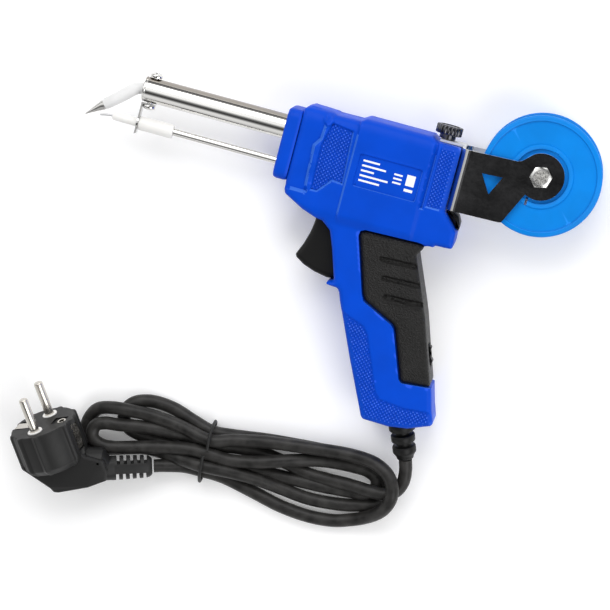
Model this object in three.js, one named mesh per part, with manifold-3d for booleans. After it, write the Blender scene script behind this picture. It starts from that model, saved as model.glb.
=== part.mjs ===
// Pistol-grip soldering gun with a trigger-driven solder feed, a solder reel and a hanked mains lead.
// Millimetres. The gun lies on its right side: +X to the rear, +Y gun-up, +Z towards its left side.
// Gun coordinates u, v, w start where the barrel's axis meets the nose collar's front face.
import * as THREE from 'three';
import { mergeVertices } from 'three/addons/utils/BufferGeometryUtils.js';
import Module from 'manifold-3d';

const wasm = await Module();
wasm.setup();

// ---------- driving dimensions ----------
const HALF_WIDTH = 18.5;        // block and reel bolt, which the gun lies on
const BODY_HALF = 15.5;         // casing beside the block
const HANDLE_CORE = 12;         // handle half width under the rubber
const WALL = 2.4;               // casing wall
const GAP = 0.3;                // clearance between touching pieces
const SPLIT = GAP / 2;          // each shell stops short of the median plane
const BARREL_R = 6.45;
const BARREL_FRONT = -75.4;
const BARREL_REAR = 24;
const SCREW_U = -70.7;          // tip screws along the barrel
const FEED_V = -17.8;           // height of the feed tube's axis
const TUBE_R = 2;
const WIRE_R = 0.6;
const REEL = { u: 131.8, v: 10.5, r: 30.8, half: 12, bore: 4.3 };
const PLATE = 1.5;              // bracket steel
const ARM_IN = 13;              // inside face of each bracket arm
const PIVOT = { u: 37, v: -33 };        // trigger pin
const WHEEL = { u: 56, v: -25.9, r: 7.2 };      // feed wheel under the wire
const ROLLER = { u: 56, v: -10.9, r: 6 };       // pinch roller above the wire
const KNOB_U = 80.8;            // thumbscrew along the body
const CORD_D = 6.9;
const ROW = { x: -31.2, y: 45.85, z: HALF_WIDTH };     // gun coordinates to the part's frame

// ---------- colours ----------
const finish = (color, roughness, metalness) => ({ color, roughness, metalness });
const BLUE = finish(0x0052cc, 0.45, 0);
const REEL_BLUE = finish(0x1a86ea, 0.4, 0);
const BLACK = finish(0x1c1b1a, 0.55, 0);
const RUBBER = finish(0x242220, 0.85, 0);
const CORD = finish(0x343230, 0.6, 0);
const CHROME = finish(0xd8d8d6, 0.12, 1);
const STEEL = finish(0xb9b9b6, 0.3, 1);
const TIP = finish(0xd6d7da, 0.4, 0.8);
const BRASS = finish(0xb9913f, 0.35, 1);
const SOLDER = finish(0xc9cacc, 0.35, 1);
const WHITE = finish(0xf2f0ec, 0.5, 0);
const CERAMIC = finish(0xe7e2d6, 0.8, 0);
const BOARD = finish(0x2f6b3a, 0.6, 0);

const part = new THREE.Group();
const gun = new THREE.Group();
gun.position.set(ROW.x, ROW.y, ROW.z);
part.add(gun);

// ---------- geometry helpers ----------
function solid(geometry) {
  const bare = geometry.index ? geometry.toNonIndexed() : geometry.clone();
  bare.deleteAttribute('normal');
  bare.deleteAttribute('uv');
  const merged = mergeVertices(bare, 1e-4);
  const triVerts = new Uint32Array(merged.index.array);
  const vertProperties = new Float32Array(merged.attributes.position.array);
  return new wasm.Manifold(new wasm.Mesh({ numProp: 3, vertProperties, triVerts }));
}

function surface(manifold) {
  const data = manifold.getMesh();
  const geometry = new THREE.BufferGeometry();
  geometry.setAttribute('position', new THREE.BufferAttribute(data.vertProperties, 3));
  geometry.setIndex(new THREE.BufferAttribute(data.triVerts, 1));
  geometry.computeVertexNormals();
  return geometry;
}

function add(name, manifold, look, home = gun) {
  const mesh = new THREE.Mesh(surface(manifold), new THREE.MeshStandardMaterial(look));
  mesh.name = name;
  home.add(mesh);
  return mesh;
}

function box(u0, u1, v0, v1, w0, w1) {
  const geometry = new THREE.BoxGeometry(u1 - u0, v1 - v0, w1 - w0);
  geometry.translate((u0 + u1) / 2, (v0 + v1) / 2, (w0 + w1) / 2);
  return solid(geometry);
}

// a solid of revolution from closed [radius, height] points, its axis then turned to u, v or w
function turned(points, axis, at, segments = 24) {
  const profile = points.map(([r, h]) => new THREE.Vector2(r, h));
  const geometry = new THREE.LatheGeometry(profile, segments);
  if (axis === 'u') geometry.rotateZ(-Math.PI / 2);
  if (axis === 'w') geometry.rotateX(Math.PI / 2);
  geometry.translate(...at);
  return solid(geometry);
}

function rod(axis, r, from, to, at, segments = 20) {
  return turned([[0, from], [r, from], [r, to], [0, to]], axis, at, segments);
}

function ring(axis, inner, outer, from, to, at, segments = 24) {
  const points = [[inner, from], [outer, from], [outer, to], [inner, to], [inner, from]];
  return turned(points, axis, at, segments);
}

function outline(points) {
  return new THREE.Shape(points.map(([a, b]) => new THREE.Vector2(a, b)));
}

// an outline in u and v, thick from w0 to w1, with rounded edges
function slab(points, w0, w1, bevel = 0, steps = 3) {
  const shape = Array.isArray(points) ? outline(points) : points;
  const geometry = new THREE.ExtrudeGeometry(shape, {
    depth: w1 - w0 - 2 * bevel,
    bevelEnabled: bevel > 0,
    bevelThickness: bevel,
    bevelSize: bevel,
    bevelOffset: -bevel,
    bevelSegments: steps,
    curveSegments: 12,
  });
  geometry.translate(0, 0, w0 + bevel);
  return solid(geometry);
}

// a round or regular section drawn along points in space
function drawn(points, radius, sides, steps) {
  const path = new THREE.CatmullRomCurve3(points.map((p) => new THREE.Vector3(...p)));
  const section = new THREE.Shape();
  for (let i = 0; i < sides; i += 1) {
    const angle = (i / sides) * Math.PI * 2;
    const x = radius * Math.cos(angle);
    const y = radius * Math.sin(angle);
    if (i === 0) section.moveTo(x, y);
    else section.lineTo(x, y);
  }
  section.closePath();
  return solid(new THREE.ExtrudeGeometry(section, { steps, extrudePath: path, bevelEnabled: false }));
}

function hexagon(u, v, across) {
  const points = [];
  for (let i = 0; i < 6; i += 1) {
    const angle = (i * Math.PI) / 3;
    const corner = across / Math.sqrt(3);
    points.push([u + corner * Math.cos(angle), v + corner * Math.sin(angle)]);
  }
  return points;
}

// ---------- casing ----------
const SIDE = [
  [8, 13], [11.2, 14.9], [23.1, 14.5], [24.8, 13.7], [37.1, 13.9], [89.6, 13.8],
  [89.6, -19], [98, -28], [98.3, -36.6], [89.6, -37], [88.8, -38.2], [84.9, -38.7], [81.8, -44.3],
  [83.5, -48.6], [87.2, -57.1], [91.5, -67.3], [94.3, -74.1], [99.6, -89.7], [106, -106],
  [109.6, -118.8], [112, -125.3], [111.3, -126.9], [100.2, -131.4], [90, -133], [76.8, -132.7],
  [75.5, -131.6], [62.2, -103.9], [50, -76.9], [48.2, -72.2], [45.9, -70.5],
  [44.6, -67.9], [39.1, -51.4], [36, -43.7], [31.1, -39.9], [26.7, -39.2],
  [19.8, -36.8], [9.2, -31.2], [8.5, -29.4], [8, -25.5],
];
const BLOCK = [
  [37.9, 13], [40.2, 16], [74, 16], [77.2, 13], [77.2, -34], [37.9, -34],
];
const BODY_ROOM = [
  [10.6, 11], [87, 11], [87, -19], [95.3, -28.5], [95.3, -34], [82, -36], [52, -36.5],
  [30, -36.5], [21, -34.4], [11.6, -29.5], [10.6, -25.5],
];
const HANDLE_ROOM = [
  [41.5, -36], [79, -36], [79, -44.3], [80.5, -48.6], [88.5, -67.3], [91.2, -74.1], [96.5, -89.7],
  [103, -106], [108, -122.5], [107, -125], [98.5, -128.6], [79, -129.6], [65, -103.9], [53, -76.9],
  [49.5, -70], [46, -58],
];
const GRIP = [
  [51.5, -40], [53.7, -38.9], [81, -38], [84.9, -38.8], [81.8, -44.3], [83.5, -48.6], [87.2, -57.1],
  [91.5, -67.3], [94.3, -74.1], [99.6, -89.7], [105.9, -107.6], [91.1, -108.9], [89.8, -107.6],
  [80.8, -83.5], [78.7, -81.3], [62.3, -73.5], [60.4, -70.2], [51.3, -42.3],
];
const GRIP_SEAT = [
  [51.2, -39.7], [53.6, -38.5], [81, -37.6], [90, -38.5], [90, -48], [96, -66], [110, -107.1],
  [105.9, -107.9], [91, -109.3], [89.4, -107.8], [80.4, -83.7], [78.5, -81.6], [62, -73.8],
  [60.1, -70.4], [50.9, -42.3],
];
const GRIP_CORE = [
  [40, -30], [76, -30], [78.6, -44.3], [80.3, -48.6], [84, -57.1], [88.3, -67.3], [91.1, -74.1],
  [96.4, -89.7], [103.4, -109.5], [103, -115], [60, -115], [40, -60],
];
const LIP = [[41.4, -70.7], [49, -71.5], [49, -68], [44.4, -69], [41.4, -69.9]];
const SHELL_SCREWS = [[15, -27.4], [83, -27], [66, -92], [84, -123.5]];

const coreHalf = HANDLE_CORE - 2;
let room = slab(BODY_ROOM, -BODY_HALF + WALL, BODY_HALF - WALL);
room = room.add(slab(HANDLE_ROOM, -coreHalf, coreHalf));
const grooves = [[64.2, -49.2], [67.6, -58.3], [71, -67.3]];

function casing() {
  let body = slab(SIDE, -BODY_HALF, BODY_HALF, 2);
  body = body.add(slab(BLOCK, -HALF_WIDTH, HALF_WIDTH, 3.5));
  body = body.add(slab(LIP, -9, 9)).subtract(room);
  for (const [u, v] of SHELL_SCREWS) body = body.add(rod('w', 4, -14, 14, [u, v, 0], 16));
  body = body.subtract(rod('u', 9.4, 5, 14, [0, 0, 0]));
  body = body.subtract(rod('u', TUBE_R + GAP, 5, 14, [0, FEED_V, 0]));
  body = body.subtract(rod('u', 3.4, 84, 92, [0, FEED_V + 3.5, 0]));
  const triggerRoom = [[20, -27], [62, -27], [62, -71], [47.4, -71], [40, -69.6], [20, -69.6]];
  body = body.subtract(slab(triggerRoom, -6.9, 6.9));
  const hollow = slab(GRIP_CORE, -HANDLE_CORE, HANDLE_CORE);
  body = body.subtract(slab(GRIP_SEAT, -HALF_WIDTH, HALF_WIDTH).subtract(hollow));
  body = body.subtract(box(94, 106, -99.4, -87.6, -4.8, 4.8));
  body = body.subtract(rod('v', 3.4, 9, 17, [KNOB_U, 0, 0]));
  body = body.subtract(leaning(rod('v', 6.5, -2.5, 6.3, [0, 0, 0])));
  body = body.subtract(leaning(rod('v', 7.2, -6, -1.1, [0, 0, 0])));
  return body;
}

// the lead's strain relief leaves the handle's lower end 20 degrees behind straight down, and a little low
const RELIEF = { u: 95.6, v: -130.4, lean: 20, drop: 12, length: 21 };
const leaning = (piece) => (
  piece.rotate([RELIEF.drop, 0, 0]).rotate([0, 0, RELIEF.lean]).translate([RELIEF.u, RELIEF.v, 0])
);

const shells = casing();
function shell(side) {
  const half = side > 0 ? box(-5, 130, -140, 30, SPLIT, 30) : box(-5, 130, -140, 30, -30, -SPLIT);
  let piece = shells.intersect(half);
  for (const [u, v] of SHELL_SCREWS) {
    if (side > 0) {
      piece = piece.subtract(rod('w', 1.6, -1, 10.6, [u, v, 0], 12));
    } else {
      piece = piece.subtract(rod('w', 1.9, -20, 1, [u, v, 0], 12));
      piece = piece.subtract(rod('w', 3.4, -20, -10.8, [u, v, 0], 16));
    }
  }
  return piece;
}
add('left_shell', shell(1), BLUE);
add('right_shell', shell(-1), BLUE);
SHELL_SCREWS.forEach(([u, v], index) => {
  const head = [[0, -13.4], [2.8, -13.4], [3, -12.8], [3, -11.1], [1.3, -11.1], [1.3, 9.8], [0, 10.3]];
  add(`shell_screw_${index + 1}`, turned(head, 'w', [u, v, 0], 12), STEEL);
});

function noseCollar() {
  const shape = [[0.3, 9], [2.3, 11.3], [7.7, 11.3], [7.7, -25.4], [2.3, -25.4], [0.3, -23.2]];
  let collar = slab(shape, -14.6, 14.6, 2.4);
  collar = collar.subtract(rod('u', BARREL_R + GAP, -2, 9, [0, 0, 0]));
  return collar.subtract(rod('u', TUBE_R + GAP, -2, 9, [0, FEED_V, 0]));
}
add('nose_collar', noseCollar(), BLUE);

function wireGuide() {
  const shape = [[90.4, -19.2], [94, -18.7], [97, -20.6], [98.6, -23.8], [98.8, -28.2]];
  return slab(shape, -8, 8);
}
add('tail_bumper', wireGuide(), BLACK);
add('tail_foot', rod('v', 1.4, -38.4, -37.3, [93.3, 0, 0], 12), BLACK);

function rubberGrip() {
  let grip = slab(GRIP, -BODY_HALF - 0.5, BODY_HALF + 0.5, 1.6, 2);
  for (const [u, v] of grooves) {
    for (const side of [-1, 1]) {
      const groove = [[u, v], [u, v - 2.3], [u + 24, v - 1.6], [u + 24, v + 0.9]];
      grip = grip.subtract(slab(groove, side > 0 ? 14.8 : -20, side > 0 ? 20 : -14.8));
    }
  }
  const core = GRIP_CORE.map(([u, v]) => [u + GAP, v]);
  grip = grip.subtract(slab(core, -HANDLE_CORE - GAP, HANDLE_CORE + GAP));
  return grip.subtract(box(94, 106, -99.4, -87.6, -4.8, 4.8));
}
add('rubber_grip', rubberGrip(), RUBBER);

// ---------- power rocker on the handle's back ----------
const ROCKER = { u: 97.6, v: -94.4, lean: 20 };
const rockerHome = new THREE.Group();
rockerHome.position.set(ROCKER.u, ROCKER.v, 0);
rockerHome.rotation.z = THREE.MathUtils.degToRad(ROCKER.lean);
gun.add(rockerHome);
const rockerShape = [[-2.2, -1.2], [-2.2, 1.2], [2.2, 3.6], [4.4, 4.3], [5, 3.4], [3.5, 1], [3.5, -1],
  [5, -3.4], [4.4, -4.3], [2.2, -3.6]];
add('power_rocker', slab(rockerShape, -4.2, 4.2, 0.4, 1), BLACK, rockerHome);
add('switch_housing', box(-13.5, -3, -6.5, 6.5, -6, 6), BLACK, rockerHome);

// ---------- barrel, heater and tip ----------
function barrel() {
  const rim = 0.5;
  const points = [[5.6, BARREL_FRONT], [BARREL_R - rim, BARREL_FRONT], [BARREL_R, BARREL_FRONT + rim],
    [BARREL_R, BARREL_REAR], [5.6, BARREL_REAR], [5.6, BARREL_FRONT]];
  const tube = turned(points, 'u', [0, 0, 0], 32);
  return tube.subtract(rod('v', 1.8, -8, 8, [SCREW_U, 0, 0], 12));
}
add('barrel_tube', barrel(), CHROME);
add('barrel_flange', ring('u', BARREL_R + GAP, 9, 8.2, 10.2, [0, 0, 0], 32), STEEL);
const HEATER = [[0, -56], [4.6, -56], [4.6, 20], [3.2, 21], [3.2, 30], [0, 30]];
add('heater_core', turned(HEATER, 'u', [0, 0, 0], 20), CERAMIC);

function tip() {
  const bend = [[-75, 0], [-80.2, -1.7], [-83.4, -4.7], [-87.9, -8.6], [-93.4, -13.3]];
  const shank = rod('u', 2.9, -75, -57, [0, 0, 0], 16);
  const curve = drawn([[-74.8, 0, 0], ...bend.map(([u, v]) => [u, v, 0])], 2.85, 16, 10);
  const cone = new THREE.CylinderGeometry(0.25, 2.6, 9.6, 16);
  cone.translate(0, 4.5, 0);
  cone.rotateZ(THREE.MathUtils.degToRad(133));
  cone.translate(-93.2, -13.1, 0);
  return shank.add(curve).add(solid(cone));
}
add('soldering_tip', tip(), TIP);

const panHead = [[0, 2.9 + GAP], [1.4, 2.9 + GAP], [1.4, 6.8], [3, 6.8], [3, 8.3], [2.3, 9.3], [0, 9.6]];
function crossSlot(top) {
  const across = box(-2, 2, 8.4, top, -0.35, 0.35);
  return across.add(box(-0.35, 0.35, 8.4, top, -2, 2));
}
const tipScrew = turned(panHead, 'v', [0, 0, 0], 16).subtract(crossSlot(10));
add('tip_screw_top', tipScrew.translate([SCREW_U, 0, 0]), CHROME);
const lowerScrew = turned(panHead.map(([r, h]) => [r, h > 6 ? h + 0.9 : h]), 'v', [0, 0, 0], 16);
add('tip_screw_bottom', lowerScrew.rotate([180, 0, 0]).translate([SCREW_U, 0, 0]), CHROME);

// ---------- solder feed at the front ----------
function strap() {
  const bend = [[-67.6, -6.8], [-67.6, -7.6], [-73.8, -7.6], [-73.8, -23], [-74.7, -23.6], [-74.7, -6.8]];
  let plate = slab(bend, -2.8, 2.8);
  plate = plate.add(rod('u', 3.9, -74.7, -73.8, [0, FEED_V, 0], 20));
  plate = plate.subtract(rod('u', 2.4, -76, -70, [0, FEED_V, 0], 16));
  return plate.subtract(rod('v', 1.8, -9, -5, [SCREW_U, 0, 0], 12));
}
add('nozzle_strap', strap(), STEEL);
const nozzle = [[0.9, -87.6], [1.9, -87.6], [2.1, -87.2], [2.1, -73.4], [3.6, -73.4], [3.6, -55.4],
  [2.3, -55.4], [2.3, -68], [0.9, -68], [0.9, -87.6]];
add('feed_nozzle', turned(nozzle, 'u', [0, FEED_V, 0], 20), WHITE);
add('feed_tube', ring('u', 1.2, TUBE_R, -67.7, 44, [0, FEED_V, 0], 20), CHROME);
const WIRE_ROUTE = [
  [-94.2, -18.9, 0], [-90, FEED_V - 0.2, 0], [-84, FEED_V, 0], [-40, FEED_V, 0], [10, FEED_V, 0],
  [60, FEED_V, 0], [78, -17.2, 0], [91, -14.4, 0], [104, -13.9, 0], [116, -11.6, 0], [130.5, -7.5, 0],
];
add('solder_wire', drawn(WIRE_ROUTE, WIRE_R, 8, 26), SOLDER);

// ---------- feed drive ----------
const at = ({ u, v }) => [u, v, 0];
function feedWheel() {
  const teeth = 20;
  const points = [];
  for (let i = 0; i < teeth * 2; i += 1) {
    const angle = (i * Math.PI) / teeth;
    const r = i % 2 ? WHEEL.r : WHEEL.r - 0.5;
    points.push([WHEEL.u + r * Math.cos(angle), WHEEL.v + r * Math.sin(angle)]);
  }
  return slab(points, -3, 3).subtract(rod('w', 2 + GAP, -5, 5, at(WHEEL), 16));
}
add('feed_wheel', feedWheel(), STEEL);
add('feed_axle', rod('w', 2, -12.6, 12.6, at(WHEEL), 16), STEEL);
add('pinch_roller', ring('w', 1.8, ROLLER.r, -3, 3, at(ROLLER), 24), STEEL);
add('pinch_axle', rod('w', 1.5, -6.5, 6.5, at(ROLLER), 12), STEEL);

function pinchArm() {
  const cheek = [[53, -14], [59, -14], [59, -6.5], [74, -2.5], [74, 1.5], [70, 1.5], [53, -5]];
  let arm = slab(cheek, -5.5, -3.5).add(slab(cheek, 3.5, 5.5));
  arm = arm.add(slab([[60, -4], [74, -0.5], [74, 1.5], [70, 1.5], [60, -2.4]], -4, 4));
  arm = arm.subtract(rod('w', 1.5 + GAP, -7, 7, at(ROLLER), 12));
  return arm.subtract(rod('w', 1.5 + GAP, -7, 7, [71.6, -0.8, 0], 12));
}
add('pinch_arm', pinchArm(), STEEL);
add('pinch_arm_pin', rod('w', 1.5, -12.6, 12.6, [71.6, -0.8, 0], 12), STEEL);

function coilSpring(radius, wire, turns, length, stepsPerTurn) {
  const points = [];
  const count = turns * stepsPerTurn;
  for (let i = 0; i <= count; i += 1) {
    const angle = (i / stepsPerTurn) * Math.PI * 2;
    points.push([radius * Math.cos(angle), (length * i) / count, radius * Math.sin(angle)]);
  }
  return drawn(points, wire, 6, count);
}
add('pinch_spring', coilSpring(2.4, 0.4, 4, 9, 7).translate([63, 1.1, 0]), STEEL);
const triggerSpring = coilSpring(2.4, 0.4, 4, 4, 7).rotate([90, 0, 0]);
add('trigger_spring', triggerSpring.translate([PIVOT.u, PIVOT.v, 7.4]), STEEL);

// lever swung by the trigger about the feed axle; its pawl pushes the wheel's teeth
function feedLever() {
  const shape = [[44.6, -29.2], [46.2, -31], [54, -30.6], [58.6, -29], [60.4, -25.9], [58.6, -22.5],
    [54, -21.8], [51, -24.6]];
  return slab(shape, 4, 6, 0.3, 1).subtract(rod('w', 2 + GAP, 2, 8, at(WHEEL), 16));
}
add('feed_lever', feedLever(), STEEL);

function trigger() {
  const shape = [[26.9, -38.5], [25.9, -48.4], [21.4, -61.1], [22.4, -62.6], [26.8, -65.3], [33.1, -67.4],
    [40, -68.6], [44.4, -67.9], [47.4, -60], [45, -50], [42.5, -38], [42.6, -31.5], [38.5, -28.6],
    [33.5, -29.5], [31, -33], [29, -37]];
  return slab(shape, -6.4, 6.4, 1.4, 2).subtract(rod('w', 1.8, -9, 9, at(PIVOT), 12));
}
add('trigger', trigger(), BLACK);
add('trigger_pin', rod('w', 1.5, -12.6, 12.6, at(PIVOT), 12), STEEL);

// ---------- electrics inside the handle ----------
const inner = new THREE.Group();
inner.position.set(79, -100, 0);
inner.rotation.z = THREE.MathUtils.degToRad(20);
gun.add(inner);
add('circuit_board', box(-4, -2.4, -15, 12, -8, 8), BOARD, inner);
add('terminal_block', box(-1.9, 6, -15.4, -8.4, -7, 7), WHITE, inner);
add('cord_clamp', box(1, 13, -23.5, -20.5, -7.5, 7.5), BLACK, inner);

// ---------- reel, bracket and thumbscrew ----------
function bracket() {
  const base = 90;
  const channel = outline([
    [base, -10.4], [base + 4, -ARM_IN - PLATE], [150, -ARM_IN - PLATE], [150, -ARM_IN], [base + 4.6, -ARM_IN],
    [base + PLATE, -9.8], [base + PLATE, 9.8], [base + 4.6, ARM_IN], [150, ARM_IN], [150, ARM_IN + PLATE],
    [base + 4, ARM_IN + PLATE], [base, 10.4],
  ]);
  const upright = slab(channel, -20, 25).rotate([-90, 0, 0]);
  const side = new THREE.Shape();
  side.moveTo(89, 14);
  side.lineTo(94, 14);
  side.lineTo(119.5, 15.2);
  side.lineTo(125.5, 20.6);
  side.absarc(REEL.u, REEL.v, 11.8, 2.12, -2.0, true);
  side.lineTo(118.4, -16.7);
  side.lineTo(94.8, -17.8);
  side.lineTo(89, -17.8);
  side.closePath();
  let piece = upright.intersect(slab(side, -20, 20));
  piece = piece.subtract(slab([[102.8, 4.5], [113.3, 5.1], [108.6, -4.6]], -20, 20));
  piece = piece.subtract(rod('w', 3.3, -20, 20, [REEL.u, REEL.v, 0], 20));
  piece = piece.subtract(rod('u', 3, 85, 95, [0, -14.4, 0], 16));
  const tab = box(77.8, 91.5, 14.1, 15.3, -7.5, 7.5).subtract(rod('v', 2.4, 10, 20, [KNOB_U, 0, 0], 16));
  return piece.add(tab).add(box(90, 91.5, 13, 15.3, -7.5, 7.5));
}

add('reel_bracket', bracket(), STEEL);

function reel() {
  const { r, half, bore } = REEL;
  const profile = [
    [bore, -half], [12, -half], [12, -half + 0.6], [14, -half + 0.6], [14, -half], [16.3, -half],
    [16.3, -half + 0.6], [28, -half + 0.6], [28, -half], [r - 0.4, -half], [r, -half + 0.4], [r, -half + 1.8],
    [r - 0.4, -half + 2.2], [13, -half + 2.2], [13, half - 2.2], [r - 0.4, half - 2.2], [r, half - 1.8],
    [r, half - 0.4], [r - 0.4, half], [28, half], [28, half - 0.6], [16.3, half - 0.6], [16.3, half],
    [14, half], [14, half - 0.6], [12, half - 0.6], [12, half], [bore, half], [bore, -half],
  ];
  const wheel = turned(profile, 'w', [REEL.u, REEL.v, 0], 36);
  const slotBox = box(REEL.u - 0.7, REEL.u + 0.7, REEL.v - 18.2, REEL.v - 15, -20, 20);
  return wheel.subtract(slotBox);
}
add('solder_reel', reel(), REEL_BLUE);
const woundR = 17;
add('solder_winding', ring('w', 13.3, woundR, -9.4, 9.4, [REEL.u, REEL.v, 0], 32), SOLDER);

const reelAxis = [REEL.u, REEL.v, 0];
add('reel_bush', ring('w', 3.3, 4, -12.6, 12.6, reelAxis, 20), BRASS);
function hexBolt() {
  const head = slab(hexagon(REEL.u, REEL.v, 10), 15.3, 17.6);
  const cap = rod('w', 4, 17.5, HALF_WIDTH, reelAxis, 20);
  return head.add(cap).add(rod('w', 3, -HALF_WIDTH, 15.4, reelAxis, 20));
}
add('reel_bolt', hexBolt(), STEEL);
const nut = slab(hexagon(REEL.u, REEL.v, 10), -17.6, -14.8).subtract(rod('w', 3.3, -20, -10, reelAxis, 20));
add('reel_nut', nut, STEEL);

function thumbscrew() {
  const points = [];
  const flutes = 16;
  for (let i = 0; i < flutes * 4; i += 1) {
    const angle = (i * Math.PI) / (flutes * 2);
    const r = i % 4 === 0 ? 6.2 : 6.8;
    points.push([r * Math.cos(angle), r * Math.sin(angle)]);
  }
  const head = slab(points, 18, 22.6, 0.4, 1).rotate([-90, 0, 0]);
  const neck = turned([[0, 4], [2, 4], [2, 15.6], [4.2, 15.6], [4.2, 18.2], [0, 18.2]], 'v', [0, 0, 0], 20);
  return head.add(neck).translate([KNOB_U, 0, 0]);
}
add('bracket_thumbscrew', thumbscrew(), CHROME);
const insert = [[2.3, 6], [3, 6], [3, 13.8], [2.3, 13.8], [2.3, 6]];
add('thumbscrew_insert', turned(insert, 'v', [KNOB_U, 0, 0], 16), BRASS);

// ---------- strain relief ----------
function relief() {
  const profile = [
    [0, -RELIEF.length], [3.9, -RELIEF.length], [4.6, -19.4], [6, -17.6], [6.1, -13.6], [4.5, -13.6],
    [4.5, -11.4], [6.2, -11.4], [6.3, -7.4], [4.6, -7.4], [4.6, -5], [6.8, -5], [6.9, -1.4],
    [6.2, -1.4], [6.2, 5], [0, 5],
  ];
  return leaning(turned(profile, 'v', [0, 0, 0], 16));
}
add('strain_relief', relief(), BLACK);

// ---------- mains lead and its tie: u, v and height above the table ----------
const TIE = { u: 2, low: 6.3, high: 12.2 };
const LEAD = [
  [102.8, -150.1, 14], [104.4, -156.5, 12.4], [104.6, -163, 11.2], [102, -168.8, 10.5],
  [96.4, -171.9, 10.3], [88, -172.2, 10], [77.4, -172.4, 7.6], [66, -173.3, 4.8], [55, -173.4, 3.6],
  [43.4, -171, 3.6], [30, -169.4, 3.6], [16.6, -170, 4.4], [TIE.u, -172.1, TIE.low], [-9, -171.4, 5.4],
  [-19, -170.9, 7.2], [-27.7, -171.2, 9.2], [-36.5, -172.2, 10.3], [-46, -174, 10.5],
  [-52.4, -174.9, 10.3], [-57.2, -177, 10.1], [-58.7, -180.9, 10], [-57.2, -184.9, 10],
  [-52.4, -186.8, 10.1], [-46.3, -186.4, 10.2], [-36.1, -183.6, 10.2], [-23.7, -180, 10.2],
  [-9, -176.6, 10.8], [TIE.u, -175.8, TIE.high], [14, -176.4, 10.8], [25.6, -174.3, 10.4],
  [36, -171.1, 10.4], [46.3, -167.9, 8.6], [57, -165.4, 5.2], [67.6, -163.9, 3.6], [80, -163.2, 3.6],
  [85.6, -163.6, 3.6], [90.3, -165.8, 3.6], [91.7, -169.8, 3.6], [90.2, -173.8, 3.6], [85.6, -175.9, 3.6],
  [80, -176.4, 3.6], [61.1, -178, 3.6], [34.4, -178.8, 3.6], [16, -179.2, 4.4], [TIE.u, -179.4, TIE.low],
  [-9, -179, 4.4], [-21.1, -177.8, 3.6], [-32.1, -177.6, 3.6], [-39.4, -176.4, 3.6], [-43.5, -173.9, 3.6],
  [-45.4, -169.8, 3.6], [-44.6, -165.2, 3.6], [-41.2, -161.4, 3.6], [-36, -159.2, 3.6],
  [-29.5, -158.4, 3.6], [-20, -159.4, 3.6], [-9, -162.4, 5.4], [TIE.u, -165, TIE.low], [13, -164.2, 5.4],
  [29.8, -162, 3.6], [45, -160.4, 3.6], [60, -159.2, 3.6], [74, -158.8, 3.6], [86, -160.4, 3.6],
  [94.4, -164.8, 3.6], [98.3, -172, 3.6], [94.6, -179, 3.6], [84.4, -182.6, 3.6], [73.4, -184.9, 3.6],
  [58.8, -186.1, 3.6], [43.4, -184.6, 4.4], [31.7, -183, 7], [18, -182.4, 9.8], [TIE.u, -182.8, TIE.high],
  [-9, -183, 9.4], [-20, -182.9, 6], [-31, -183.7, 3.9], [-42, -187, 3.6], [-51.2, -189.8, 3.6],
  [-57.4, -189.4, 3.6], [-61.4, -186.6, 3.6], [-63.2, -181.8, 3.6], [-62.6, -175.6, 3.6],
  [-59.2, -169.8, 5.4], [-51.9, -166.6, 8.6], [-42, -165.2, 10.3], [-29.5, -164.8, 9.8],
  [-15.3, -166, 9.8], [TIE.u, -168.7, TIE.high], [14, -165.6, 11], [29.8, -162.1, 10.3], [45, -159.9, 10],
  [58.6, -158.2, 9.6], [71, -156.8, 9.6], [81, -156.3, 11], [89, -157, 13.2], [95.8, -160, 15.8],
  [99.8, -165, 17.1], [101, -171, 17.2], [99.6, -177, 14.8], [96, -182.4, 11], [90, -187.2, 6.8],
  [83, -190.9, 4.2], [74, -193.9, 3.6], [61.3, -195.1, 3.6], [46.1, -194, 3.6], [30.1, -190.6, 3.6],
  [14, -187.2, 4.5], [TIE.u, -186.5, TIE.low], [-8, -186.9, 6.2], [-18.1, -189, 8.2], [-23, -190.3, 9.3],
];
const upFromTable = ([u, v, z]) => [u, v, z - HALF_WIDTH];
add('power_cord', drawn(LEAD.map(upFromTable), CORD_D / 2, 8, 84), CORD);

const TIE_LOOP = [
  [2.6, -173, 17.6], [2.2, -168, 17.4], [2, -162.4, 14.8], [2, -159.8, 8.8], [2, -159.8, 4],
  [2, -162.6, 1.5], [2, -176, 1.35], [2, -189.4, 1.5], [2, -192, 4], [2, -191.4, 9.4], [1.8, -187.4, 14.6],
  [1.4, -181, 17.2], [1.3, -176.2, 17.7],
];
add('cord_tie', drawn(TIE_LOOP.map(upFromTable), 0.8, 6, 26), BLACK);

// ---------- plug: pins raised from the table, lead leaving to the side ----------
const PLUG = { u: -83.3, v: -181.3, z: 23.4, r: 18.8, depth: 19, raise: 15, heading: 31.8, pinTurn: -19 };
const plugHome = new THREE.Group();
const rad = THREE.MathUtils.degToRad;
const toCable = new THREE.Vector3(Math.cos(rad(PLUG.heading)), Math.sin(rad(PLUG.heading)), 0);
const toPins = new THREE.Vector3(
  -Math.sin(rad(PLUG.heading)) * Math.cos(rad(PLUG.raise)),
  Math.cos(rad(PLUG.heading)) * Math.cos(rad(PLUG.raise)),
  Math.sin(rad(PLUG.raise)),
);
const toSide = new THREE.Vector3().crossVectors(toCable, toPins);
plugHome.applyMatrix4(new THREE.Matrix4().makeBasis(toCable, toPins, toSide));
plugHome.position.set(PLUG.u, PLUG.v, PLUG.z - HALF_WIDTH);
gun.add(plugHome);
const turnPins = (piece) => piece.rotate([0, PLUG.pinTurn, 0]);

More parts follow.
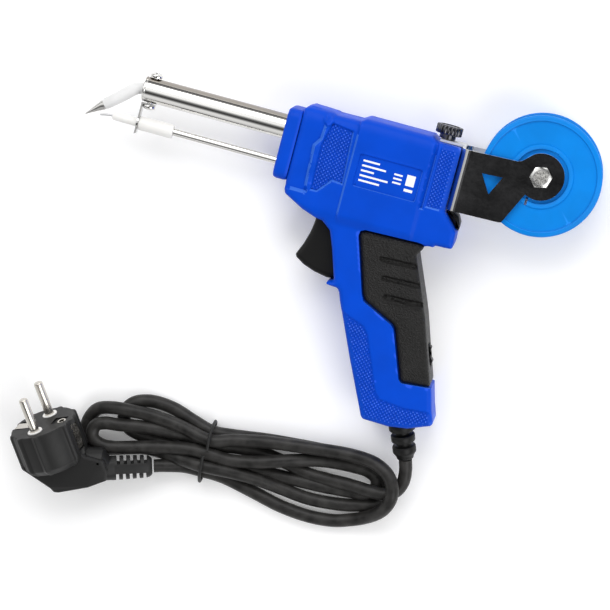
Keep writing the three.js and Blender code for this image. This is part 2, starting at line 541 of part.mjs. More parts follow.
function plugBody() {
  const { r, depth } = PLUG;
  const back = [[0, -depth - 5], [13.5, -depth - 4], [r - 0.8, -depth], [r, -depth + 1]];
  const profile = [...back, [r, -1], [r - 1, 0], [0, 0]];
  let body = turned(profile, 'v', [0, 0, 0], 32);
  const spine = [
    [-17.6, -18.6], [-6.5, -34.6], [-4, -36.4], [12, -38.4], [22, -38.2], [23, -28.6], [14, -23], [12, -12],
    [-10, -12],
  ];
  body = body.add(slab(spine, -8.5, 8.5, 1.5, 2));
  for (const side of [-1, 1]) {
    const notch = box(side > 0 ? 15.6 : -22, side > 0 ? 22 : -15.6, -17.5, 2, -3.6, 3.6);
    const bore = rod('v', 2.7, -12, 1, [0, 0, side * 9.5], 12);
    const seat = rod('v', 4.2, -1, 1, [0, 0, side * 9.5], 16);
    body = body.subtract(turnPins(notch)).subtract(turnPins(bore)).subtract(turnPins(seat));
  }
  return body.subtract(turnPins(rod('v', 2.6, -14, 1, [11.4, 0, 0], 12)));
}
add('plug_body', plugBody(), BLACK, plugHome);
[-1, 1].forEach((side, index) => {
  const pin = [[0, -11.7], [2.4, -11.7], [2.4, 17.6], [1.9, 18.6], [1, 19], [0, 19]];
  add(`plug_pin_${index + 1}`, turnPins(turned(pin, 'v', [0, 0, side * 9.5], 16)), CHROME, plugHome);
  const collar = ring('v', 2.7, 3.9, -0.7, 0.5, [0, 0, side * 9.5], 16);
  add(`pin_collar_${index + 1}`, turnPins(collar), WHITE, plugHome);
  const clip = [[15.9, -17], [16.8, -17], [18.6, -9], [16.8, -0.4], [15.9, -0.4], [17.6, -9]];
  const strip = slab(clip, -2.8, 2.8);
  add(`earth_clip_${index + 1}`, turnPins(side > 0 ? strip : strip.rotate([0, 180, 0])), STEEL, plugHome);
});
add('earth_socket', turnPins(ring('v', 1.5, 2.3, -13, -0.3, [11.4, 0, 0], 12)), BRASS, plugHome);

function plugRelief() {
  const profile = [[0, 0], [5.9, 0]];
  for (let i = 0; i < 5; i += 1) {
    const from = 2.4 + i * 3.7;
    profile.push([5.9 - i * 0.12, from], [4.3, from], [4.3, from + 1.4], [5.8 - i * 0.12, from + 1.4]);
  }
  profile.push([5.2, 20.4], [4.2, 21.2], [0, 21.2]);
  const start = new THREE.Vector3(-43.8, -196.5, 13.9 - HALF_WIDTH);
  const end = new THREE.Vector3(-23.5, -190.45, 9.5 - HALF_WIDTH);
  const along = end.clone().sub(start).normalize();
  const geometry = new THREE.LatheGeometry(profile.map(([r, h]) => new THREE.Vector2(r, h)), 16);
  geometry.applyQuaternion(new THREE.Quaternion().setFromUnitVectors(new THREE.Vector3(0, 1, 0), along));
  geometry.translate(start.x, start.y, start.z);
  return solid(geometry);
}
add('plug_relief', plugRelief(), BLACK);

export default part;
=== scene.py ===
# The solder-feed gun's looks: casing, grip, reel, bracket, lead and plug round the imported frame.
#
# Shapes are given in gun millimetres: u to the rear, v gun-up, w across, from the nose collar's
# front on the barrel's axis. at() turns them into the part's frame in metres.
import math

import bmesh
import bpy
import numpy as np
from mathutils import Matrix, Vector
from mathutils.geometry import delaunay_2d_cdt


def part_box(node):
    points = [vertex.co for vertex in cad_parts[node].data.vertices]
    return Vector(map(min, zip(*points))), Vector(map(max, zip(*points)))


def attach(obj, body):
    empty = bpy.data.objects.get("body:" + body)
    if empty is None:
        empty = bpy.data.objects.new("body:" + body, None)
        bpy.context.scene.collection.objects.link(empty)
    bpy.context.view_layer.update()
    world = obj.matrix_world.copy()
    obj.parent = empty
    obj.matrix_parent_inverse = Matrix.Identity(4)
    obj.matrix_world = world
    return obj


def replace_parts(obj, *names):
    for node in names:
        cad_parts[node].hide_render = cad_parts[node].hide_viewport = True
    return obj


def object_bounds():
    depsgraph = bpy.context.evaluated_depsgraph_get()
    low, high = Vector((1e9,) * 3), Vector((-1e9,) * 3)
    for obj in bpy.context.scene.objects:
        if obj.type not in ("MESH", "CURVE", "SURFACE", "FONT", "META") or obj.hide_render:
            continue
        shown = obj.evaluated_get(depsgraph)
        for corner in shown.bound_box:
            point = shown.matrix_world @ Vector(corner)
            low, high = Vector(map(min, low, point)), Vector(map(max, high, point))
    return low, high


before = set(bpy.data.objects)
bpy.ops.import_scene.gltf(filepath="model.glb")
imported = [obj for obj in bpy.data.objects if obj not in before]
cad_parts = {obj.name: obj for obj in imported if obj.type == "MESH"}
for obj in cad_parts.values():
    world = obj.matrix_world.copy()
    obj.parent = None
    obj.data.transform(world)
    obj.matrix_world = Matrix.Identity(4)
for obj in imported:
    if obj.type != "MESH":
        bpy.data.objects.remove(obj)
CAD_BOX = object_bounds()

MM = 0.001
BARREL_FRONT = -75.4
barrel_low, barrel_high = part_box("barrel_tube")
AXIS = (barrel_low + barrel_high) / 2
ORIGIN = Vector((barrel_low.x - BARREL_FRONT * MM, AXIS.y, AXIS.z))


def at(u, v, w=0.0):
    return ORIGIN + Vector((u, v, w)) * MM


# ---------- camera ----------
PICTURE_CENTRE = (32.55, -85.95)
PICTURE_WIDTH = 0.3128
DISTANCE = 1.6
TILT_UP = 8.5
TILT_REAR = 4.0
RIGHT_HAND = Vector((0.9637, 0.2672, 0))


def in_scene(name, data):
    item = bpy.data.objects.new(name, data)
    bpy.context.scene.collection.objects.link(item)
    return item


def make_camera():
    data = bpy.data.cameras.new("camera")
    camera = in_scene("camera", data)
    rear, up = math.tan(math.radians(TILT_REAR)), math.tan(math.radians(TILT_UP))
    away = Vector((rear, up, 1)).normalized()
    right = (RIGHT_HAND - away * RIGHT_HAND.dot(away)).normalized()
    up = away.cross(right)
    turn = Matrix((right, up, away)).transposed()
    camera.matrix_world = Matrix.Translation(at(*PICTURE_CENTRE) + away * DISTANCE) @ turn.to_4x4()
    data.angle = 2 * math.atan(PICTURE_WIDTH / 2 / DISTANCE)
    data.clip_start = 0.05
    data.clip_end = 20
    bpy.context.scene.camera = camera


make_camera()


# ---------- materials ----------
def link(tree, source, target):
    tree.links.new(source, target)


# a new node of some kind; an input takes a value, or is linked if it is given a socket
def node(tree, kind, **inputs):
    made = tree.nodes.new(f"ShaderNode{kind}")
    for name, value in inputs.items():
        target = made.inputs[name.replace("_", " ")]
        if isinstance(value, bpy.types.NodeSocket):
            link(tree, value, target)
        else:
            target.default_value = value
    return made


def base_material(name, color, roughness, metallic=0.0, specular=0.5):
    material = bpy.data.materials.new(name)
    material.use_nodes = True
    tree = material.node_tree
    shader = tree.nodes["Principled BSDF"]
    shader.inputs["Base Color"].default_value = (*color, 1)
    shader.inputs["Roughness"].default_value = roughness
    shader.inputs["Metallic"].default_value = metallic
    shader.inputs["Specular IOR Level"].default_value = specular
    return material, tree, shader, node(tree, "TexCoord").outputs["Object"]


def noise(tree, coords, scale, detail=3.0, stretch=(1, 1, 1)):
    place = node(tree, "Mapping", Vector=coords, Scale=stretch).outputs["Vector"]
    return node(tree, "TexNoise", Vector=place, Scale=scale, Detail=detail).outputs["Fac"]


def ramp(tree, value, low, high, dark, light):
    made = node(tree, "ValToRGB", Fac=value)
    for index, (position, color) in enumerate(((low, dark), (high, light))):
        made.color_ramp.elements[index].position = position
        made.color_ramp.elements[index].color = (*color, 1)
    return made.outputs["Color"]


def spread(tree, value, low, high):
    return node(tree, "MapRange", Value=value, To_Min=low, To_Max=high).outputs["Result"]


def between(tree, value, low, high):
    made = node(tree, "MapRange", Value=value, From_Min=low, From_Max=high)
    made.interpolation_type = "SMOOTHSTEP"
    return made.outputs["Result"]


def mixed(tree, factor, first, second, blend="MIX"):
    made = tree.nodes.new("ShaderNodeMix")
    made.data_type = "RGBA"
    made.blend_type = blend
    link(tree, factor, made.inputs[0])
    link(tree, first, made.inputs[6])
    if isinstance(second, tuple):
        made.inputs[7].default_value = (*second, 1)
    else:
        link(tree, second, made.inputs[7])
    return made.outputs[2]


def bump(tree, shader, height, strength, distance):
    made = node(tree, "Bump", Height=height, Strength=strength, Distance=distance)
    link(tree, made.outputs["Normal"], shader.inputs["Normal"])


def scaled(color, factor):
    return tuple(min(1.0, c * factor) for c in color)


# below one darkens, as painted shade; above one also lifts the weaker channels, as a painted
# highlight does
def tinted(color, factor):
    lift = max(0, factor - 1) * 0.12 * max(color)
    return tuple(min(1.0, c * factor + lift) for c in color)


# Pointiness from flat to fully creased, where shade is painted, and from flat to fully an edge,
# where a highlight is painted
CREASE_SHADE_RANGE = (0.48, 0.42)
EDGE_HIGHLIGHT_RANGE = (0.515, 0.6)


# moulded plastic: fine grain, faint mottling, painted shade in creases and a painted highlight on
# edges
def plastic(name, color, roughness, grain=2600, depth=0.00003, edge_highlight=1.25, specular=0.5, crease_shade=0.6):
    material, tree, shader, coords = base_material(name, color, roughness, specular=specular)
    mottle = noise(tree, coords, 60, 4)
    body = ramp(tree, mottle, 0.35, 0.7, scaled(color, 0.93), scaled(color, 1.05))
    bend = node(tree, "NewGeometry").outputs["Pointiness"]
    # painted shade: creases and hollows darkened
    body = mixed(tree, between(tree, bend, *CREASE_SHADE_RANGE), body, tinted(color, crease_shade))
    # painted highlight: edges and crests lightened
    body = mixed(tree, between(tree, bend, *EDGE_HIGHLIGHT_RANGE), body, tinted(color, edge_highlight))
    link(tree, body, shader.inputs["Base Color"])
    sheen = spread(tree, noise(tree, coords, 220, 3), roughness - 0.06, roughness + 0.08)
    link(tree, sheen, shader.inputs["Roughness"])
    bump(tree, shader, noise(tree, coords, grain, 2), 0.35, depth)
    return material


# rubber with a leather-like moulded grain and dusty patches
def rubber(name, color, roughness, grain=1100, depth=0.0004, patch=90, dusty=1.5):
    material, tree, shader, coords = base_material(name, color, roughness, specular=0.25)
    cells = node(tree, "TexVoronoi", Vector=coords, Scale=grain)
    patches = noise(tree, coords, patch, 5)
    body = ramp(tree, patches, 0.3, 0.75, scaled(color, 0.7), scaled(color, dusty))
    link(tree, body, shader.inputs["Base Color"])
    bump(tree, shader, cells.outputs["Distance"], 0.6, depth)
    sheen = spread(tree, noise(tree, coords, 300, 3), roughness - 0.1, roughness + 0.05)
    link(tree, sheen, shader.inputs["Roughness"])
    return material


# metal with faint scratches along one direction
def metal(name, color, roughness, stretch=(1, 1, 1), scratch=0.00001, tone=0.9, blotch=120):
    material, tree, shader, coords = base_material(name, color, roughness, metallic=1.0)
    lines = noise(tree, coords, 900, 3, stretch)
    blotches = noise(tree, coords, blotch, 4, stretch)
    body = ramp(tree, blotches, 0.3, 0.7, scaled(color, tone), color)
    link(tree, body, shader.inputs["Base Color"])
    link(tree, spread(tree, lines, roughness * 0.7, roughness * 1.4), shader.inputs["Roughness"])
    bump(tree, shader, lines, 0.3, scratch)
    return material


# a metal darkened along its gun-up side: a painted dark reflection
def with_dark_top_reflection(material, tone):
    tree = material.node_tree
    shader = tree.nodes["Principled BSDF"]
    color = shader.inputs["Base Color"].links[0].from_socket
    normal = node(tree, "NewGeometry").outputs["Normal"]
    split = node(tree, "SeparateXYZ", Vector=normal)
    dark_top_mask = between(tree, split.outputs["Y"], 0.62, 0.82)
    link(tree, mixed(tree, dark_top_mask, color, tone, "MULTIPLY"), shader.inputs["Base Color"])
    return material


BLUE = plastic("casing_blue", (0, 0.061, 0.56), 0.42, edge_highlight=1.25, specular=0.09, crease_shade=0.55)
# a lighter copy of the casing blue for ledges that face the key light: a painted highlight
LIT_LEDGE_BLUE = plastic("lit_ledge_painted_blue", (0.035, 0.15, 0.66), 0.4, edge_highlight=1.2, specular=0.15)
# the knurl's blue: darker, with strong painted highlights on the crests and painted shade between
# them
KNURL_LIT_SHADED_BLUE = plastic("knurl_painted_light_blue", (0, 0.055, 0.5), 0.42, edge_highlight=2.6, specular=0.12, crease_shade=0.45)
REEL_BLUE = plastic("reel_blue", (0, 0.212, 0.69), 0.4, edge_highlight=1.18, specular=0.14, crease_shade=0.75)
BLACK = plastic("moulded_black", (0.006,) * 3, 0.4, grain=1800, edge_highlight=2, specular=0.2)
PLUG_BLACK = plastic(
    "plug_black", (0.011,) * 3, 0.48, grain=1500, depth=0.00005, edge_highlight=1.8, specular=0.3)
RUBBER = rubber("grip_rubber", (0.0065, 0.0062, 0.006), 0.46, grain=1300, depth=0.0008)
SHEATH = rubber(
    "cord_sheath", (0.012, 0.0115, 0.011), 0.45, 1600, depth=0.00006, patch=150, dusty=3.2)
CHROME = metal("chrome", (0.80, 0.79, 0.77), 0.08, stretch=(0.1, 1, 1))
# the barrel's chrome, darker on its upper side: a painted reflection
BARREL_CHROME_DARK_TOP = with_dark_top_reflection(
    metal("barrel_chrome_dark_top", (0.80, 0.79, 0.77), 0.08, stretch=(0.1, 1, 1)), (0.42, 0.39, 0.36))
STEEL = metal("bright_steel", (0.60, 0.60, 0.59), 0.18, stretch=(0.2, 1, 1))
BRACKET = metal("bracket_steel", (0.68, 0.68, 0.67), 0.12, stretch=(0.3, 1, 1))
# a darkened copy of the bracket steel for the arms' flat outer faces: a painted dark reflection
DARK_REFLECTION_FACE = metal(
    "painted_dark_reflection", (0.13, 0.13, 0.135), 0.16, (0.6, 1, 1), scratch=0.00003, tone=0.5)
# a lighter, rougher copy of the bracket steel for its inside and tab: a satin finish and a painted
# highlight
LIT_SATIN = metal("lit_satin_steel", (0.80, 0.80, 0.79), 0.5, stretch=(0.3, 1, 1))
BOLT = metal("bolt_steel", (0.72, 0.72, 0.70), 0.25, scratch=0.00008, tone=0.6)
BOLT_END = metal("bolt_end", (0.8, 0.79, 0.76), 0.4, scratch=0.0006, tone=0.08, blotch=1300)
KNOB_CHROME = metal("knob_chrome", (0.09, 0.09, 0.1), 0.2)
TIP_PLATE = metal("tip_plating", (0.75, 0.74, 0.72), 0.22, scratch=0.00003, tone=0.8)
FROSTED = plastic("frosted_plating", (0.76,) * 3, 0.55, grain=1800, depth=0.00012, edge_highlight=1.1)
PIN_NICKEL = metal("pin_nickel", (0.66, 0.63, 0.58), 0.2)
BRASS = metal("brass", (0.55, 0.38, 0.13), 0.3)
SOLDER = metal("solder", (0.62, 0.62, 0.63), 0.35, scratch=0.00004)
PTFE = plastic("white_ptfe", (0.86, 0.85, 0.83), 0.4, edge_highlight=1)
CERAMIC = plastic("ceramic", (0.78, 0.74, 0.66), 0.7, edge_highlight=1)
BOARD = plastic("board_green", (0.03, 0.15, 0.05), 0.4)
INK = plastic("white_ink", (0.85, 0.87, 0.9), 0.6, edge_highlight=1)


# ---------- mesh helpers ----------
# points nearer than this, in metres, are one
MERGE = 0.000005
# edges sharper than this take a bevel
BEVEL_ANGLE = 50


def cleaned(mesh):
    work = bmesh.new()
    work.from_mesh(mesh)
    bmesh.ops.remove_doubles(work, verts=work.verts, dist=MERGE)
    bmesh.ops.recalc_face_normals(work, faces=work.faces)
    work.to_mesh(mesh)
    work.free()
    return mesh


def loose_object(name, vertices, faces):
    mesh = bpy.data.meshes.new(name)
    mesh.from_pydata([tuple(v) for v in vertices], [], faces)
    return in_scene(name, cleaned(mesh))


def finish_piece(piece, material, body, smooth_angle):
    mesh = piece.data
    mesh.materials.clear()
    mesh.materials.append(material)
    mesh.shade_smooth()
    mesh.set_sharp_from_angle(angle=math.radians(smooth_angle))
    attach(piece, body)
    return piece


def new_object(name, vertices, faces, material, body, slot, smooth_angle=35):
    return finish_piece(loose_object(name, vertices, faces), material, body, smooth_angle)


# a solid changed by (operation, solid) steps, its sharp edges then bevelled by some millimetres
def combined(name, first, steps, material, body, slot, smooth_angle=35, bevel=0.0):
    draft = loose_object(name, *first)
    tools = []
    for operation, shape in steps:
        tool = loose_object("tool", *shape)
        modifier = draft.modifiers.new("combine", "BOOLEAN")
        modifier.operation = operation
        modifier.solver = "MANIFOLD"
        modifier.object = tool
        tools.append(tool)
    if bevel:
        modifier = draft.modifiers.new("bevel", "BEVEL")
        modifier.width = bevel * MM
        modifier.segments = 2
        modifier.limit_method = "ANGLE"
        modifier.angle_limit = math.radians(BEVEL_ANGLE)
    evaluated = draft.evaluated_get(bpy.context.evaluated_depsgraph_get())
    mesh = bpy.data.meshes.new_from_object(evaluated)
    for item in (draft, *tools):
        bpy.data.objects.remove(item, do_unlink=True)
    return finish_piece(in_scene(name, cleaned(mesh)), material, body, smooth_angle)


def cut(name, first, cutters, *look):
    return combined(name, first, [("DIFFERENCE", cutter) for cutter in cutters], *look)


# several solids as one list of points and one of faces
def together(solids):
    vertices, faces = [], []
    for points, loops in solids:
        faces += [[len(vertices) + i for i in loop] for loop in loops]
        vertices += points
    return vertices, faces


# loops of equal length skinned into one surface; its ends are capped, or joined if it is closed
def skin(loops, closed=False):
    rows, count = len(loops), len(loops[0])
    faces = []
    for i in range(rows if closed else rows - 1):
        n = (i + 1) % rows
        for j in range(count):
            k = (j + 1) % count
            faces.append([i * count + j, i * count + k, n * count + k, n * count + j])
    if not closed:
        faces.append(list(range(count))[::-1])
        faces.append([(rows - 1) * count + j for j in range(count)])
    return [p for loop in loops for p in loop], faces


def circle(count):
    return [2 * math.pi * i / count for i in range(count)]


# a profile of (radius, height) turned about an axis through a gun point
def turned(profile, centre, axis=(0, 0, 1), segments=64, closed=False):
    turn = Vector((0, 0, 1)).rotation_difference(Vector(axis).normalized())
    middle = at(*centre)
    loops = []
    for r, h in profile:
        loops.append([middle + turn @ Vector((r * math.cos(a), r * math.sin(a), h)) * MM
                      for a in circle(segments)])
    return skin(loops, closed)


# corners of an outline rounded with short arcs
def rounded(points, radius, steps=4):
    out = []
    count = len(points)
    for i in range(count):
        before = np.array(points[i - 1], float)
        here = np.array(points[i], float)
        after = np.array(points[(i + 1) % count], float)
        to_before = before - here
        to_after = after - here
        room = min(np.linalg.norm(to_before), np.linalg.norm(to_after)) * 0.45
        turn = math.pi - math.acos(np.clip(
            to_before @ to_after / np.linalg.norm(to_before) / np.linalg.norm(to_after), -1, 1))
        cut = min(room, radius * math.tan(turn / 2)) if turn < 3 else room
        start = here + to_before / np.linalg.norm(to_before) * cut
        end = here + to_after / np.linalg.norm(to_after) * cut
        if turn < math.radians(8):
            out.append(tuple(here))
            continue
        for s in range(steps + 1):
            t = s / steps
            out.append(tuple((1 - t) ** 2 * start + 2 * t * (1 - t) * here + t ** 2 * end))
    return out


def densified(points, step):
    out = []
    count = len(points)
    for i in range(count):
        a = np.array(points[i], float)
        b = np.array(points[(i + 1) % count], float)
        parts = max(1, int(math.ceil(np.linalg.norm(b - a) / step)))
        out += [tuple(a + (b - a) * s / parts) for s in range(parts)]
    return out


# signed distance of points to a polygon, positive inside
def inside_by(points, polygon):
    p = np.asarray(points, float)
    a = np.asarray(polygon, float)
    b = np.roll(a, -1, axis=0)
    best = np.full(len(p), 1e9)
    inside = np.zeros(len(p), bool)
    for (ax, ay), (bx, by) in zip(a, b):
        ex, ey = bx - ax, by - ay
        t = np.clip(((p[:, 0] - ax) * ex + (p[:, 1] - ay) * ey) / (ex * ex + ey * ey), 0, 1)
        best = np.minimum(best, np.hypot(p[:, 0] - ax - t * ex, p[:, 1] - ay - t * ey))
        crosses = (ay > p[:, 1]) != (by > p[:, 1])
        if ey != 0:
            inside ^= crosses & (p[:, 0] < ax + ex * (p[:, 1] - ay) / ey)
    return np.where(inside, best, -best)


def smooth(x, low, high):
    t = np.clip((np.asarray(x, float) - low) / (high - low), 0, 1)
    return t * t * (3 - 2 * t)


# how far a surface drops below its flat by rounding an edge of that radius
def rounding(distance, radius):
    t = np.clip(1 - np.asarray(distance, float) / radius, 0, 1)
    return radius * (1 - np.sqrt(np.maximum(0, 1 - t * t)))


def grid_points(outline, step, margin):
    low = np.min(outline, axis=0)
    high = np.max(outline, axis=0)
    us = np.arange(low[0] + step / 2, high[0], step)
    vs = np.arange(low[1] + step / 2, high[1], step)
    mesh = np.array(np.meshgrid(us, vs)).reshape(2, -1).T
    return mesh[inside_by(mesh, outline) > margin]


def inward_of(loop):
    forward = np.roll(loop, -1, axis=0) - np.roll(loop, 1, axis=0)
    normal = np.stack([-forward[:, 1], forward[:, 0]], axis=1)
    normal /= np.maximum(1e-9, np.linalg.norm(normal, axis=1))[:, None]
    area = np.sum(loop[:, 0] * np.roll(loop[:, 1], -1) - np.roll(loop[:, 0], -1) * loop[:, 1])
    return normal if area > 0 else -normal


# a plate with a shaped upper face: height(points, distance) gives w above the flat back at base
def relief_plate(outline, height, base, step, fine=(), sign=1, lines=()):
    edge = densified(outline, min(step, 0.8))
    coarse = grid_points(outline, step, 1.3 + step / 3)
    near = []
    for offset in (0.12, 0.35, 0.75, 1.3):
        e = np.array(edge)
        normal = inward_of(e)
        moved = e + normal * offset
        near.append(moved[inside_by(moved, outline) > offset * 0.9])
    for zone in fine:
        coarse = coarse[inside_by(coarse, zone) < -0.2]
        dense = diamond_grid(zone)
        near.append(dense[inside_by(dense, outline) > 1.9])
    for line, width in lines:
        traced = np.array(densified(line, 0.7))
        inner = traced + inward_of(traced) * width
        for row in (traced, inner):
            row = row[inside_by(row, outline) > 1.6]
            for zone in fine:
                row = row[inside_by(row, zone) < 0.15] if len(row) else row
            if len(row):
                apart = coarse[:, None] - row[None]
                coarse = coarse[np.min(np.hypot(apart[..., 0], apart[..., 1]), 1) > 0.4]
                near.append(row)
    points = np.concatenate([np.array(edge)] + [n for n in near if len(n)] + [coarse])
    count = len(edge)
    loop = [(i, (i + 1) % count) for i in range(count)]
    out = delaunay_2d_cdt([Vector(p) for p in points], loop, [], 1, 0.0005)
    flat = np.array([tuple(p) for p in out[0]])
    faces = [list(f) for f in out[2]]
    depth = inside_by(flat, outline)
    w = height(flat, np.maximum(depth, 0))
    used = {}
    for face in faces:
        for i in range(len(face)):
            pair = (face[i], face[(i + 1) % len(face)])
            used[pair] = used.get(pair, 0) + 1
    rim = [pair for pair in used if (pair[1], pair[0]) not in used]
    vertices = [at(p[0], p[1], sign * h) for p, h in zip(flat, w)]
    lower = {}
    for a, b in rim:
        for i in (a, b):
            if i not in lower:
                lower[i] = len(vertices)
                vertices.append(at(flat[i][0], flat[i][1], sign * base))
    walls = [[b, a, lower[a], lower[b]] for a, b in rim]
    follow = {a: b for a, b in rim}
    start = rim[0][0]
    back = [lower[start]]
    here = follow[start]
    while here != start and len(back) <= len(rim):
        back.append(lower[here])
        here = follow[here]
    return vertices, faces + walls + [back[::-1]]


# a flat plate between two w heights, its edges rounded on both sides
def rounded_plate(outline, w0, w1, radius, steps=4):
    edge = np.array(outline, float)
    area = 0.5 * np.sum(edge[:, 0] * np.roll(edge[:, 1], -1) - np.roll(edge[:, 0], -1) * edge[:, 1])
    if area < 0:
        edge = edge[::-1]
    before = edge - np.roll(edge, 1, axis=0)
    after = np.roll(edge, -1, axis=0) - edge
    n1 = np.stack([-before[:, 1], before[:, 0]], axis=1) / np.linalg.norm(before, axis=1)[:, None]
    n2 = np.stack([-after[:, 1], after[:, 0]], axis=1) / np.linalg.norm(after, axis=1)[:, None]
    inward = n1 + n2
    inward /= np.maximum(0.5, np.sum(inward * n1, axis=1))[:, None]
    loops = []
    for w, way in ((w0, 1), (w1, -1)):
        for s in range(steps + 1):
            angle = (s / steps if way > 0 else 1 - s / steps) * math.pi / 2
            moved = edge + inward * (radius * (1 - math.sin(angle)))
            loops.append([at(*point, w + way * radius * (1 - math.cos(angle))) for point in moved])
    return skin(loops)


# a smooth line through gun points, as part-frame points
def spline(points, per_span=8):
    p = [Vector(q) for q in points]
    p = [p[0] * 2 - p[1]] + p + [p[-1] * 2 - p[-2]]
    out = []
    for i in range(1, len(p) - 2):
        a, b, c, d = p[i - 1], p[i], p[i + 1], p[i + 2]
        for s in range(per_span):
            t = s / per_span
            out.append(0.5 * (2 * b + (c - a) * t + (2 * a - 5 * b + 4 * c - d) * t * t
                              + (3 * b - a - 3 * c + d) * t ** 3))
    out.append(p[-2])
    return out


# a round section carried along part-frame points without twisting; radius may change along the way
def tube(points, radius, segments=24):
    radii = radius if isinstance(radius, (list, tuple)) else [radius] * len(points)
    tangent = (points[1] - points[0]).normalized()
    side = tangent.orthogonal().normalized()
    loops = []
    for i, point in enumerate(points):
        ahead = points[min(i + 1, len(points) - 1)] - points[max(i - 1, 0)]
        new_tangent = ahead.normalized()
        side = (tangent.rotation_difference(new_tangent) @ side).normalized()
        tangent = new_tangent
        other = tangent.cross(side)
        loops.append([point + (side * math.cos(a) + other * math.sin(a)) * radii[i]
                      for a in circle(segments)])
    return skin(loops)


# ---------- the lead: same route as the CAD tube, u, v and height above the table ----------
CORD_DIAMETER = 0.0069
TIE_U, TIE_LOW, TIE_HIGH = 2, 6.3, 12.2
LEAD = [
    (102.8, -150.1, 14), (104.4, -156.5, 12.4), (104.6, -163, 11.2), (102, -168.8, 10.5),
    (96.4, -171.9, 10.3), (88, -172.2, 10), (77.4, -172.4, 7.6), (66, -173.3, 4.8),
    (55, -173.4, 3.6), (43.4, -171, 3.6), (30, -169.4, 3.6), (16.6, -170, 4.4),
    (TIE_U, -172.1, TIE_LOW), (-9, -171.4, 5.4), (-19, -170.9, 7.2), (-27.7, -171.2, 9.2),
    (-36.5, -172.2, 10.3), (-46, -174, 10.5), (-52.4, -174.9, 10.3), (-57.2, -177, 10.1),
    (-58.7, -180.9, 10), (-57.2, -184.9, 10), (-52.4, -186.8, 10.1), (-46.3, -186.4, 10.2),
    (-36.1, -183.6, 10.2), (-23.7, -180, 10.2), (-9, -176.6, 10.8), (TIE_U, -175.8, TIE_HIGH),
    (14, -176.4, 10.8), (25.6, -174.3, 10.4), (36, -171.1, 10.4), (46.3, -167.9, 8.6),
    (57, -165.4, 5.2), (67.6, -163.9, 3.6), (80, -163.2, 3.6), (85.6, -163.6, 3.6),
    (90.3, -165.8, 3.6), (91.7, -169.8, 3.6), (90.2, -173.8, 3.6), (85.6, -175.9, 3.6),
    (80, -176.4, 3.6), (61.1, -178, 3.6), (34.4, -178.8, 3.6), (16, -179.2, 4.4),
    (TIE_U, -179.4, TIE_LOW), (-9, -179, 4.4), (-21.1, -177.8, 3.6), (-32.1, -177.6, 3.6),
    (-39.4, -176.4, 3.6), (-43.5, -173.9, 3.6), (-45.4, -169.8, 3.6), (-44.6, -165.2, 3.6),
    (-41.2, -161.4, 3.6), (-36, -159.2, 3.6), (-29.5, -158.4, 3.6), (-20, -159.4, 3.6),
    (-9, -162.4, 5.4), (TIE_U, -165, TIE_LOW), (13, -164.2, 5.4), (29.8, -162, 3.6),
    (45, -160.4, 3.6), (60, -159.2, 3.6), (74, -158.8, 3.6), (86, -160.4, 3.6), (94.4, -164.8, 3.6),
    (98.3, -172, 3.6), (94.6, -179, 3.6), (84.4, -182.6, 3.6), (73.4, -184.9, 3.6),
    (58.8, -186.1, 3.6), (43.4, -184.6, 4.4), (31.7, -183, 7), (18, -182.4, 9.8),
    (TIE_U, -182.8, TIE_HIGH), (-9, -183, 9.4), (-20, -182.9, 6), (-31, -183.7, 3.9),
    (-42, -187, 3.6), (-51.2, -189.8, 3.6), (-57.4, -189.4, 3.6), (-61.4, -186.6, 3.6),
    (-63.2, -181.8, 3.6), (-62.6, -175.6, 3.6), (-59.2, -169.8, 5.4), (-51.9, -166.6, 8.6),
    (-42, -165.2, 10.3), (-29.5, -164.8, 9.8), (-15.3, -166, 9.8), (TIE_U, -168.7, TIE_HIGH),
    (14, -165.6, 11), (29.8, -162.1, 10.3), (45, -159.9, 10), (58.6, -158.2, 9.6),
    (71, -156.8, 9.6), (81, -156.3, 11), (89, -157, 13.2), (95.8, -160, 15.8), (99.8, -165, 17.1),
    (101, -171, 17.2), (99.6, -177, 14.8), (96, -182.4, 11), (90, -187.2, 6.8), (83, -190.9, 4.2),
    (74, -193.9, 3.6), (61.3, -195.1, 3.6), (46.1, -194, 3.6), (30.1, -190.6, 3.6),
    (14, -187.2, 4.5), (TIE_U, -186.5, TIE_LOW), (-8, -186.9, 6.2), (-18.1, -189, 8.2),
    (-23, -190.3, 9.3),
]
TIE_LOOP = [
    (2.6, -173, 17.6), (2.2, -168, 17.4), (2, -162.4, 14.8), (2, -159.8, 8.8), (2, -159.8, 4),
    (2, -162.6, 1.5), (2, -176, 1.35), (2, -189.4, 1.5), (2, -192, 4), (2, -191.4, 9.4),
    (1.8, -187.4, 14.6), (1.4, -181, 17.2), (1.3, -176.2, 17.7),
]
TIE_R = 0.85
TABLE_Z = CAD_BOX[0][2]


# a lead point, its height above the table in millimetres
def laid(u, v, height):
    return Vector((ORIGIN.x + u * MM, ORIGIN.y + v * MM, TABLE_Z + height * MM))


def make_lead():
    path = spline([laid(*p) for p in LEAD], 8)
    vertices, faces = tube(path, CORD_DIAMETER / 2, 20)
    lead = new_object("lead", vertices, faces, SHEATH, "gun", "cord_sheath", 60)
    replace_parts(lead, "power_cord")
    return lead, path


lead, lead_path = make_lead()


# ---------- light ----------
# a value for each leaning angle of a direction about the long axis, in degrees from straight up
def banded(tree, angle, stops):
    made = node(tree, "ValToRGB", Fac=angle)
    elements = made.color_ramp.elements
    for end, (degrees, value) in zip(elements, (stops[0], stops[-1])):
        end.position = (degrees + 180) / 360
        end.color = (value, value, value, 1)
    for degrees, value in stops[1:-1]:
        elements.new((degrees + 180) / 360).color = (value, value, value, 1)
    return made.outputs["Color"]


